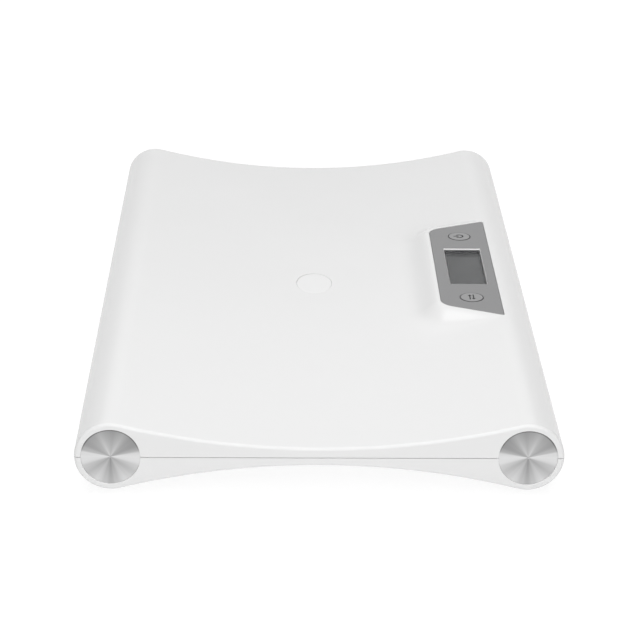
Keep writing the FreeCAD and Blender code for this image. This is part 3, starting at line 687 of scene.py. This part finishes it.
def makeLowerShell():
    plan = lowerPlan
    feet = [(side * tubeX, end * footY) for _, side, end in corners]
    screws = screwPlaces()
    well, bore, edge, step = lengths(plan, "footWell", "footBore", "collarRound", "boreStep")
    tubeLow = jointZ - tubeRadius
    low, ledge = (tubeLow + rise for rise in lengths(plan, "collarDrop", "ledgeRise"))
    shell = lowerBlock("lowerShell", 0, halfLength)
    collars = postTools(feet, [(0, low), *reversed(edgePoints(well, low, edge, -edge)),
                               (well, footHigh.z - beyond), (0, footHigh.z - beyond)], 72)
    combine(shell, [collars], "UNION")
    bores = postTools(feet, [(0, 0), (bore + edge, 0), *reversed(edgePoints(bore, low, -edge, -edge)),
                             (bore, ledge), (bore + step, ledge),
                             (bore + step, footHigh.z + beyond), (0, footHigh.z + beyond)], 72)
    sink, hole, seatZ, lip = lengths(plan, "screwWell", "screwHole", "screwSeat", "mouthChamfer")
    wells = postTools(screws, [(0, 0), (sink + lip, 0), (sink + lip, tubeLow), (sink, tubeLow + lip),
                               (sink, seatZ), (hole, seatZ), (hole, jointZ + beyond),
                               (0, jointZ + beyond)], 40)
    doorX, doorY = plan["bayHalfX"] * mm, doorHigh.y + plan["doorPlay"] * mm
    opening = boxTool(tubeX - doorX, tubeX + doorX, -doorY, doorY, 0, jointZ - plan["openingDrop"] * mm)
    combine(opening, [lowerBlock("inside", shellPlan["wall"] * mm, halfLength)])
    bayY = plan["bayHalfY"] * mm
    bay = boxTool(tubeX - doorX, tubeX + doorX, -bayY, bayY, -beyond, plan["bayCeiling"] * mm)
    roomX, roomReach, roomLow, roomHigh = (value * mm for value in plan["tongueRoom"])
    room = boxTool(tubeX - roomX, tubeX + roomX, -doorY - roomReach, -bayY + beyond, roomLow, roomHigh)
    scoop = bmesh.new()
    scoopZ = tubeLow + (plan["scoopDepth"] - plan["scoopRadius"]) * mm
    centre = Matrix.Translation((tubeX, doorHigh.y + plan["scoopOffset"] * mm, scoopZ))
    bmesh.ops.create_uvsphere(scoop, u_segments=64, v_segments=48, radius=plan["scoopRadius"] * mm,
                              matrix=centre)
    scoop = meshObject("scoop", scoop)
    combine(shell, [lowerHollow(feet, screws)])
    combine(shell, endCutters())
    combine(shell, [opening, bay, room, scoop, bores, wells])
    shade(shell, shellWhite)
    seat(shell, "housing", "shell_white", "lower_shell")
    print("lower shell:", len(shell.data.polygons), "faces")


makeLowerShell()

# end discs, spun and brushed; the tones are painted reflection fans of the brushed finish, by angle from +X
discPlan = {
    "edge": 0.05, "dimple": 0.7, "dimpleDepth": 0.25, "tint": (1.0, 1.0, 1.005), "roughness": 0.3,
    "hubPaintedLight": 0.3, "rimPaintedShade": 1.06, "shadeFrom": 0.465, "shadeRise": (0.05, 0.3), "shadeLow": 0.2,
    "grooves": 60, "streaks": 9.0, "streakChange": 0.12,
    "reflectionFans": [(-180, 0.62), (-168, 0.59), (-158, 0.48), (-146, 0.43), (-119, 0.53), (-101, 0.43),
             (-90, 0.36), (-79, 0.43), (-61, 0.53), (-38, 0.42), (-24, 0.46), (-12, 0.59), (0, 0.62),
             (10, 0.59), (16, 0.41), (30, 0.33), (50, 0.38), (68, 0.48), (82, 0.42), (96, 0.38),
             (118, 0.45), (138, 0.34), (154, 0.31), (165, 0.38), (172, 0.59), (180, 0.62)],
}
ringScale = math.pi / 5  # of a ring texture, for one ring between the hub and the rim


def discMaterial(plan):
    material, tree, shader = newMaterial("discMetal", (0.6, 0.6, 0.6), plan["roughness"], 1.0,
                                         Anisotropic=0.6)
    centred = vectorStep(tree, "SUBTRACT", at0=feed(tree, "TexCoord").outputs["UV"], at1=(0.5, 0.5, 0))
    split = feed(tree, "SeparateXYZ", Vector=centred).outputs
    angle = calculate(tree, "ARCTAN2", split["Y"], split["X"])
    # painted reflections: the ramp lays the bright and dark fans of the brushed metal's reflections into the
    # base colour
    ramp = feed(tree, "ValToRGB", Fac=calculate(tree, "MULTIPLY_ADD", angle, 0.5 / math.pi, 0.5))
    band = ramp.color_ramp
    band.interpolation = "EASE"
    last = len(plan["reflectionFans"]) - 1
    for i, (degrees, tone) in enumerate(plan["reflectionFans"]):
        place = degrees / 360 + 0.5
        stop = band.elements.new(place) if 0 < i < last else band.elements[-1 if i else 0]
        stop.position = place
        stop.color = tuple(tone * part for part in plan["tint"]) + (1,)
    spoke = vectorStep(tree, "NORMALIZE", at0=centred)
    streaks = noiseAt(tree, spoke, plan["streaks"], 5)
    tinted = vectorStep(tree, "SCALE", at0=ramp.outputs["Color"],
                        Scale=swing(tree, streaks, plan["streakChange"]))
    radius = vectorStep(tree, "LENGTH", at0=centred)
    # painted shade: near the hub the upper half is lighter and the lower half darker, near the rim the other
    # way round
    steep = feed(tree, "SeparateXYZ", Vector=spoke).outputs["Y"]
    lean = calculate(tree, "MULTIPLY_ADD", radius, -plan["rimPaintedShade"], plan["hubPaintedLight"])
    lean = calculate(tree, "MULTIPLY_ADD", steep, lean, 1.0)
    # painted shadow: a dark crescent along the disc's upper rim, where the recess's edge would shade it
    near, far = plan["shadeRise"]
    shadow = [feed(tree, "MapRange", {"interpolation_type": "SMOOTHSTEP"}, Value=value, From_Min=low,
                   From_Max=high).outputs["Result"]
              for value, low, high in ((radius, plan["shadeFrom"], 0.5), (split["Y"], near, far))]
    shadow = calculate(tree, "MULTIPLY_ADD", calculate(tree, "MULTIPLY", *shadow), plan["shadeLow"] - 1, 1.0)
    tinted = vectorStep(tree, "SCALE", at0=tinted, Scale=calculate(tree, "MULTIPLY", shadow, lean))
    rings = feed(tree, "TexWave", {"wave_type": "RINGS", "rings_direction": "SPHERICAL"}, Vector=centred,
                 Scale=plan["grooves"] * ringScale, Distortion=0.4, Detail=1).outputs["Fac"]
    tangent = feed(tree, "Tangent", {"direction_type": "RADIAL", "axis": "Y"}).outputs[0]
    wire(tree, shader.inputs, Base_Color=tinted, Normal=relief(tree, 0.12, 0.02 * mm, rings), Tangent=tangent)
    return material


def makeDiscs(plan):
    metal = discMaterial(plan)
    radius = (discHigh.x - discLow.x) / 2
    thickness = discHigh.y - discLow.y
    edge, dimple = plan["edge"] * mm, plan["dimple"] * mm
    profile = [(0, 0), (radius, 0), *edgePoints(radius, thickness, edge, edge),
               (radius / 2, thickness), (dimple, thickness),
               (dimple / 2, thickness - plan["dimpleDepth"] * mm), (0, thickness - plan["dimpleDepth"] * mm)]
    for name, side, end in corners:
        bm = lathe(profile, segments=128)
        flat = bm.loops.layers.uv.new("UVMap")
        for bmFace in bm.faces:
            for loop in bmFace.loops:
                x, y, _ = loop.vert.co / (2 * radius)
                loop[flat].uv = (0.5 - side * end * x, 0.5 + y)
        bmesh.ops.transform(bm, matrix=endMatrix(side, end, -discHigh.y), verts=bm.verts)
        makePiece("disc_" + name, bm, metal, "housing", "disc_metal", "end_disc_" + name)


makeDiscs(discPlan)
print("end discs made")


# the control plate, with a chamfered window and flared button holes
platePlan = {"edgeRound": 0.35, "holeRadius": 8.6, "holeRound": 0.25}


def makePlate(plan):
    thickness = plateHigh.z - plateLow.z
    bm = bmesh.new()
    face = outlineFace(bm, plateCorners(), plateRounds(), plateLow.z)
    edge = plan["edgeRound"] * mm
    roundOver(bm, pushFace(bm, face, thickness - edge), edge, -1, 3)
    plate = meshObject("controlPlate", bm)
    bm = bmesh.new()
    corner, chamfer = lengths(windowPlan, "cornerRound", "chamfer")
    face = outlineFace(bm, rectangle(displayX, displayY, windowX, windowY), (corner,) * 4,
                       plateLow.z - beyond)
    face = pushFace(bm, face, thickness - chamfer + beyond)
    face = pushFace(bm, face, chamfer, chamfer)
    pushFace(bm, face, 2 * beyond)
    window = meshObject("windowTool", bm)
    radius, flare = plan["holeRadius"] * mm, plan["holeRound"] * mm
    profile = [(0, plateLow.z - beyond), (radius, plateLow.z - beyond),
               *edgePoints(radius, plateHigh.z, -flare, flare), (radius + flare, crestZ + beyond),
               (0, crestZ + beyond)]
    holes = postTools(keyPlaces.values(), profile, 96)
    combine(plate, [window, holes])
    shade(plate, plateGrey)
    seat(plate, "housing", "panel_grey", "control_panel")


# a frame inside the window's edge, shrunk by start and leaning in by lean towards the lens
def windowFrame(name, material, plan, high, low, lean, start=0.0):
    corner, gap = plan["cornerRound"] * mm, plan["linerGap"] * mm
    bm = bmesh.new()
    base = outlineFace(bm, rectangle(displayX, displayY, windowX - gap, windowY - gap), (corner,) * 4, low)
    top = pushFace(bm, base, high - low)
    bmesh.ops.inset_region(bm, faces=[top], thickness=plan["linerEdge"] * mm + start, depth=0,
                           use_even_offset=True)
    inner = pushFace(bm, top, low - high, -lean)
    rims = list(base.edges) + list(inner.edges)
    bmesh.ops.delete(bm, geom=[base, inner], context="FACES_ONLY")
    bmesh.ops.bridge_loops(bm, edges=rims)
    makePiece(name, bm, material, "housing", "plunger_plastic")


# a white rim inside the window's edge, brighter than the shell, which paints the highlight line there; a dark
# frame down to the lens, which paints the shade on the window's walls; and a gasket from there to the display
def makeWindowFrames(plan):
    top = plateHigh.z - plan["chamfer"] * mm
    middle = top - plan["rimHeight"] * mm
    rimLean, low = plan["rimLean"] * mm, plateLow.z + plan["linerGap"] * mm
    # painted highlight: the white rim stands for the bright line along the window's edge
    windowFrame("windowHighlightRim", highlightWhite, plan, top, middle, rimLean)
    lean, gap = plan["linerLean"] * mm, plan["linerGap"] * mm
    # painted shade: the dark liner stands for the shade on the window's walls
    windowFrame("windowShadeLiner", darkAndShade, plan, middle, low, lean, rimLean)
    windowFrame("displayGasket", darkAndShade, plan, lensLow.z - gap, glassHigh.z + gap, 0.0, rimLean + lean)


makePlate(platePlan)
makeWindowFrames(windowPlan)
print("control plate and window made")

# buttons: a grey cap in a dark skirt that paints the shadow in the gap round it, with a printed sign; the
# reader stands on the +X side
buttonPlan = {
    "capRadius": 7.85, "capRound": 0.3, "skirtRadius": 8.2, "skirtDrop": 0.1, "skirtRound": 0.15,
    "flange": 1.0, "flangeDrop": 0.1, "stemRadius": 2.5, "printHeight": 0.03,
    "ringRadius": 2.7, "stroke": 1.2, "ringGap": 76.0, "barLow": 0.4, "barHigh": 4.5,
    "arrowHalf": 4.6, "arrowGap": 2.6, "arrowHead": 1.7, "arrowStroke": 0.9,
}


def signMatrix(key):
    return Matrix.Translation((*keyPlaces[key], capHigh.z)) @ Matrix.Rotation(math.pi / 2, 4, "Z")


# a flat stroke from one point to another
def printStroke(bm, start, end, width):
    run = Vector(end) - Vector(start)
    middle = (Vector(start) + Vector(end)) / 2
    turn = Matrix.Rotation(math.atan2(run.y, run.x), 4, "Z")
    size = Matrix.Diagonal((run.length, width, 1, 1))
    matrix = Matrix.Translation((middle.x, middle.y, 0)) @ turn @ size
    bmesh.ops.create_grid(bm, x_segments=1, y_segments=1, size=0.5, matrix=matrix)


def powerSign(bm, plan):
    radius, half = plan["ringRadius"] * mm, plan["stroke"] * mm / 2
    ends = [bm.verts.new((0, radius - half, 0)), bm.verts.new((0, radius + half, 0))]
    line = bm.edges.new(ends)
    opening = math.radians(plan["ringGap"])
    bmesh.ops.rotate(bm, verts=ends, cent=(0, 0, 0), matrix=Matrix.Rotation(opening / 2, 3, "Z"))
    bmesh.ops.spin(bm, geom=ends + [line], cent=(0, 0, 0), axis=(0, 0, 1), dvec=(0, 0, 0),
                   angle=2 * math.pi - opening, steps=40, use_merge=False, use_duplicate=False)
    printStroke(bm, (0, plan["barLow"] * mm), (0, plan["barHigh"] * mm), 2 * half)


# two opposite arrows, for changing between units
def changeSign(bm, plan):
    half, gap, head, stroke = lengths(plan, "arrowHalf", "arrowGap", "arrowHead", "arrowStroke")
    for sign in (-1, 1):
        level = sign * gap / 2
        printStroke(bm, (-sign * half, level), (sign * (half - 1.5 * head), level), stroke)
        place = Matrix.Translation((sign * (half - head), level, 0))
        turn = place @ Matrix.Rotation(-sign * math.pi / 2, 4, "Z")
        bmesh.ops.create_circle(bm, cap_ends=True, segments=3, radius=head, matrix=turn)


def makeButton(plan, key, drawSign):
    top, body = capHigh.z, key + "_key"
    cap, edge = plan["capRadius"] * mm, plan["capRound"] * mm
    flangeTop = plateLow.z - plan["flangeDrop"] * mm
    flangeLow = flangeTop - plan["flange"] * mm
    stem = plan["stemRadius"] * mm
    profile = [(0, capLow.z), (stem, capLow.z), (stem, flangeLow), (flangeRadius, flangeLow),
               (flangeRadius, flangeTop), (cap, flangeTop), (cap, top - edge),
               *quarterPoints(cap, top, edge, edge, 5), (0, top)]
    place = Matrix.Translation((*keyPlaces[key], 0))
    makePiece(key + "Cap", lathe(profile, place), capGrey, body, "button_grey", key + "_button")
    # painted shadow: the dark skirt fills the gap round the cap
    skirt, drop, bend = lengths(plan, "skirtRadius", "skirtDrop", "skirtRound")
    ring = [(cap, flangeTop), (skirt, flangeTop), *edgePoints(skirt, top - drop, bend, bend),
            (cap, top - drop), (cap, flangeTop)]
    makePiece(key + "ShadeSkirt", lathe(ring, place), darkAndShade, body, "plunger_plastic")
    bm = bmesh.new()
    drawSign(bm, plan)
    made = bmesh.ops.extrude_face_region(bm, geom=bm.faces[:])["geom"]
    bmesh.ops.translate(bm, verts=vertsOf(made), vec=(0, 0, plan["printHeight"] * mm))
    bmesh.ops.transform(bm, matrix=signMatrix(key), verts=bm.verts)
    makePiece(key + "Sign", bm, markDark, body, "plunger_plastic")


makeButton(buttonPlan, "power", powerSign)
makeButton(buttonPlan, "unit", changeSign)
print("buttons made")

# the bare oval badge, bent to the tray's curve
badgePlan = {"edge": 0.3, "rings": 6}


def makeBadge(plan):
    radius, edge = badgeRadius, plan["edge"] * mm
    top = badgeHigh.z
    profile = [(0, badgeLow.z), (radius, badgeLow.z), *edgePoints(radius, top, edge, edge)]
    profile += [((radius - edge) * (1 - i / plan["rings"]), top) for i in range(1, plan["rings"] + 1)]
    bm = ovalBadge(profile)
    bend = trayRadius(shellPlan["trayRise"] * mm)
    for vertex in bm.verts:
        if vertex.co.z > badgeLow.z + weldDistance:
            vertex.co.z += vertex.co.x ** 2 / (2 * bend)
    makePiece("centreBadge", bm, badgeWhite, "housing", "badge_white", "centre_badge")


makeBadge(badgePlan)

# rubber pads with ridges round a sunk middle; a ridge's land and slopes are shares of its width
padPlan = {"ridges": 4, "ridgeWidth": 1.5, "ridgeDepth": 0.45, "edge": 0.5, "land": 0.5, "slopeStart": 0.15,
           "slopeEnd": 0.35, "lastSlope": 0.2}


def makePads(plan):
    radius = (padHigh.x - padLow.x) / 2
    edge, depth, width = lengths(plan, "edge", "ridgeDepth", "ridgeWidth")
    low, high = padLow.z, padHigh.z
    land, start, stop, last = (plan[key] * width for key in ("land", "slopeStart", "slopeEnd", "lastSlope"))
    profile = [(0, high), (radius, high), *edgePoints(radius, low, edge, -edge)]
    outer = radius - edge
    for _ in range(plan["ridges"]):
        outer -= land
        profile += [(outer, low), (outer - start, low + depth), (outer - stop, low + depth)]
        outer -= land
        profile.append((outer, low))
    outer -= land
    profile += [(outer, low), (outer - last, low + depth), (0, low + depth)]
    for name, side, end in corners:
        place = Matrix.Translation((side * tubeX, end * footY, 0))
        makePiece("pad_" + name, lathe(profile, place), padRubber, "housing", "pad_rubber",
                  "foot_pad_" + name, sharpAngle=40)


makePads(padPlan)
print("badge and pads made")

# grip bars on the battery door, near its finger scoop
gripPlan = {"bars": 4, "pitch": 2.6, "width": 12.0, "thick": 1.0, "depth": 1.5, "edge": 0.3, "start": 6.0}


def makeDoorGrip(plan):
    whole = bmesh.new()
    for i in range(plan["bars"]):
        y = doorHigh.y - (plan["start"] + i * plan["pitch"]) * mm
        half = plan["width"] * mm / 2
        z = jointZ - math.sqrt(tubeRadius ** 2 - half ** 2)
        matrix = Matrix.Translation((tubeX, y, (z + jointZ - tubeRadius) / 2))
        size = Matrix.Diagonal((2 * half, plan["thick"] * mm, plan["depth"] * mm, 1))
        made = bmesh.ops.create_cube(whole, size=1, matrix=matrix @ size)
        edges = list({edge for vertex in made["verts"] for edge in vertex.link_edges})
        bmesh.ops.bevel(whole, geom=edges, offset=plan["edge"] * mm, offset_type="OFFSET", segments=3,
                        profile=0.5, affect="EDGES", material=-1)
    makePiece("doorGrip", whole, shellWhite, "door", "shell_white")


makeDoorGrip(gripPlan)


def dress(material, *nodes):
    for node in nodes:
        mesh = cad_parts[node].data
        mesh.materials.clear()
        mesh.materials.append(material)


# clear window with a trace of tint and a black printed border; lamps light the display through it
lensPlan = {"tint": (0.93, 0.94, 0.94), "border": (0.02, 0.02, 0.02), "roughness": 0.03, "index": 1.09,
            "passed": 0.9, "ripplePerMetre": 120, "ripple": 0.03}


def lensMaterial(plan):
    material, tree, shader = newMaterial("lensClear", plan["tint"], plan["roughness"], IOR=plan["index"])
    where = objectPlace(tree)
    centred = vectorStep(tree, "SUBTRACT", at0=where, at1=(displayX, displayY, 0))
    split = feed(tree, "SeparateXYZ", Vector=vectorStep(tree, "ABSOLUTE", at0=centred)).outputs
    inside = [calculate(tree, "LESS_THAN", split[i], half) for i, half in enumerate((windowX, windowY))]
    clear = calculate(tree, "MULTIPLY", *inside)
    colour = feed(tree, "Mix", {"data_type": "RGBA"}, at0=clear, at6=(*plan["border"], 1),
                  at7=(*plan["tint"], 1)).outputs[2]
    ripple = noiseAt(tree, where, plan["ripplePerMetre"], 1)
    wire(tree, shader.inputs, Base_Color=colour, Transmission_Weight=clear,
         Normal=relief(tree, plan["ripple"], 0.1 * mm, ripple))
    passed = feed(tree, "BsdfTransparent", Color=(plan["passed"],) * 3 + (1,)).outputs[0]
    shadowRay = calculate(tree, "MULTIPLY", feed(tree, "LightPath").outputs["Is Shadow Ray"], clear)
    final = feed(tree, "MixShader", at0=shadowRay, at1=shader.outputs[0], at2=passed).outputs[0]
    tree.links.new(final, tree.nodes["Material Output"].inputs["Surface"])
    return material


# layered rubber that joins the display to the board
def layeredMaterial():
    material, tree, shader = newMaterial("layeredRubber", (0.2, 0.2, 0.22), 0.65)
    where = objectPlace(tree)
    layers = feed(tree, "TexWave", {"bands_direction": "Y"}, Vector=where, Scale=800).outputs["Fac"]
    ramp = feed(tree, "ValToRGB", Fac=layers)
    ramp.color_ramp.elements[0].color = (0.03, 0.03, 0.035, 1)
    ramp.color_ramp.elements[1].color = (0.34, 0.34, 0.38, 1)
    wire(tree, shader.inputs, Base_Color=ramp.outputs["Color"], Normal=relief(tree, 0.2, 0.05 * mm, layers))
    return material


# green solder mask over raised copper tracks
def boardMaterial():
    material, tree, shader = newMaterial("boardGreen", (0.03, 0.2, 0.08), 0.35)
    where = objectPlace(tree)
    tracks = feed(tree, "TexBrick", Vector=where, Scale=90, Mortar_Size=0.06, Mortar_Smooth=0.2,
                  Color1=(0, 0, 0, 1), Color2=(0, 0, 0, 1), Mortar=(1, 1, 1, 1)).outputs["Color"]
    mask = calculate(tree, "MULTIPLY", tracks, noiseAt(tree, where, 60, 3))
    mixed = feed(tree, "Mix", {"data_type": "RGBA"}, at0=mask, at6=(0.015, 0.13, 0.05, 1),
                 at7=(0.06, 0.34, 0.14, 1)).outputs[2]
    wire(tree, shader.inputs, Base_Color=mixed, Normal=relief(tree, 0.4, 0.05 * mm, tracks))
    return material


# a cell's wrap: steel end, copper-coloured band by the knob, dark body
def cellMaterial(node, knobEnd):
    low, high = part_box(node)
    material, tree, shader = newMaterial("wrap_" + node, (0.1, 0.1, 0.12), 0.3, 0.8)
    where = objectPlace(tree)
    turned = feed(tree, "Mapping", Vector=where, Location=(0, -low.y if knobEnd > 0 else high.y, 0),
                  Scale=(1, knobEnd, 1)).outputs[0]
    along = calculate(tree, "DIVIDE", feed(tree, "SeparateXYZ", Vector=turned).outputs["Y"], high.y - low.y)
    ramp = feed(tree, "ValToRGB", Fac=along)
    band = ramp.color_ramp
    band.interpolation = "CONSTANT"
    stops = ((0.0, (0.6, 0.6, 0.62)), (0.02, (0.05, 0.055, 0.065)), (0.74, (0.55, 0.3, 0.14)),
             (0.965, (0.62, 0.62, 0.64)))
    for i, (place, colour) in enumerate(stops):
        stop = band.elements[i] if i < 2 else band.elements.new(place)
        stop.position = place
        stop.color = (*colour, 1)
    gloss = calculate(tree, "MULTIPLY_ADD", noiseAt(tree, where, 900, 2), 0.2, 0.2)
    wire(tree, shader.inputs, Base_Color=ramp.outputs["Color"], Roughness=gloss)
    return material


# display glass, switched off
lcdGrey = grained("lcdGrey", (0.026, 0.026, 0.027), 0.25, 0.1, 0.15, 900, 0.03, Specular_IOR_Level=0.08)

fourCorners = [name for name, _, _ in corners]
dress(lensMaterial(lensPlan), "display_lens")
dress(lcdGrey, "lcd_glass")
dress(layeredMaterial(), "zebra_strip_inner", "zebra_strip_outer")
dress(boardMaterial(), "main_board")
dress(frameWhite, "lcd_frame", "lead_socket")
dress(lightGuide, "backlight")
dress(chipBlack, "control_chip", "power_switch", "unit_switch")
dress(plungerDark, "power_plunger", "unit_plunger")
dress(canMetal, "board_capacitors")
dress(screwSteel, "board_screws", "retainer_screws", "shell_screws")
dress(contactSteel, "bridge_contact", "positive_contact", "negative_contact", "lane_spring_1",
      "lane_spring_2")
dress(shellWhite, "battery_door")
dress(leadSheath, "battery_leads", *("sensor_lead_" + name for name in fourCorners))
dress(cellSteel, *("load_cell_" + name for name in fourCorners))
dress(footGrey, *(kind + name for name in fourCorners for kind in ("foot_", "cell_retainer_")))
for number in range(1, 5):
    cell = "battery_" + str(number)
    dress(cellMaterial(cell, 1 if number < 3 else -1), cell)
print("every node has its material")


# 1 for rays that come straight from the camera, a mirror or a clear piece
def seenDirectly(tree):
    rays = feed(tree, "LightPath").outputs
    either = calculate(tree, "MAXIMUM", rays["Is Camera Ray"], rays["Is Glossy Ray"])
    return calculate(tree, "MAXIMUM", either, rays["Is Transmission Ray"])


stagePlan = {"half": 12, "body": 0.8, "seen": 0.25, "glow": (0.83, 1.0), "glowReach": (0.4, 1.4)}


# pale floor that takes the object's shadow, white to the eye; the view from below and the lamp below pass it
def makeStage(plan):
    bm = bmesh.new()
    bmesh.ops.create_grid(bm, x_segments=1, y_segments=1, size=plan["half"])
    floor = meshObject("floor", bm)
    material = bpy.data.materials.new("floorWhite")
    material.use_nodes = True
    tree = material.node_tree
    tree.nodes.clear()
    plain, faint = (feed(tree, "BsdfDiffuse", Color=(plan[key],) * 3 + (1,)).outputs[0]
                    for key in ("body", "seen"))
    (near, far), (low, high) = plan["glowReach"], plan["glow"]
    away = vectorStep(tree, "LENGTH", at0=objectPlace(tree))
    strength = feed(tree, "MapRange", {"interpolation_type": "SMOOTHSTEP"}, Value=away, From_Min=near,
                    From_Max=far, To_Min=low, To_Max=high).outputs["Result"]
    glow = feed(tree, "Emission", Strength=strength).outputs[0]
    both = feed(tree, "AddShader", at0=faint, at1=glow).outputs[0]
    chosen = feed(tree, "MixShader", at0=seenDirectly(tree), at1=plain, at2=both).outputs[0]
    clear = feed(tree, "BsdfTransparent").outputs[0]
    under = feed(tree, "NewGeometry").outputs["Backfacing"]
    passes = calculate(tree, "MAXIMUM", under, feed(tree, "LightPath").outputs["Is Shadow Ray"])
    final = feed(tree, "MixShader", at0=passes, at1=chosen, at2=clear).outputs[0]
    feed(tree, "OutputMaterial", Surface=final)
    floor.data.materials.append(material)


lightPlan = {
    "worldStrength": 0.19,
    "lamps": [
        {"name": "overhead", "place": (0.0, 0.0, 1.6), "size": (1.5, 1.5), "watts": 16.4},
        {"name": "frontHigh", "place": (0.0, -1.7, 1.3), "size": (2.6, 1.6), "watts": 16.6},
        {"name": "frontLow", "place": (0.0, -2.2, 0.45), "size": (1.6, 0.7), "watts": 10.4},
        {"name": "backHigh", "place": (0.0, 1.7, 1.3), "size": (1.6, 1.0), "watts": 3.2},
        {"name": "below", "place": (0.0, 0.0, -1.8), "size": (1.0, 1.0), "watts": 7.0},
    ],
}


def makeLights(plan):
    world = bpy.data.worlds.new("world")
    world.use_nodes = True
    bpy.context.scene.world = world
    tree = world.node_tree
    tree.nodes.clear()
    plain = feed(tree, "Background", Color=(1, 1, 1, 1), Strength=plan["worldStrength"]).outputs[0]
    white = feed(tree, "Background", Color=(1, 1, 1, 1), Strength=1.0).outputs[0]
    mixed = feed(tree, "MixShader", at0=seenDirectly(tree), at1=plain, at2=white).outputs[0]
    feed(tree, "OutputWorld", Surface=mixed)
    for lamp in plan["lamps"]:
        light = bpy.data.lights.new(lamp["name"], "AREA")
        light.shape = "RECTANGLE"
        light.size, light.size_y = lamp["size"]
        light.energy = lamp["watts"]
        holder = bpy.data.objects.new(lamp["name"], light)
        aim = (-Vector(lamp["place"])).to_track_quat("-Z", "Y").to_matrix().to_4x4()
        holder.matrix_world = Matrix.Translation(lamp["place"]) @ aim
        bpy.context.scene.collection.objects.link(holder)


makeStage(stagePlan)
makeLights(lightPlan)
bpy.context.scene.view_settings.view_transform = "Standard"
print("floor and lights set")
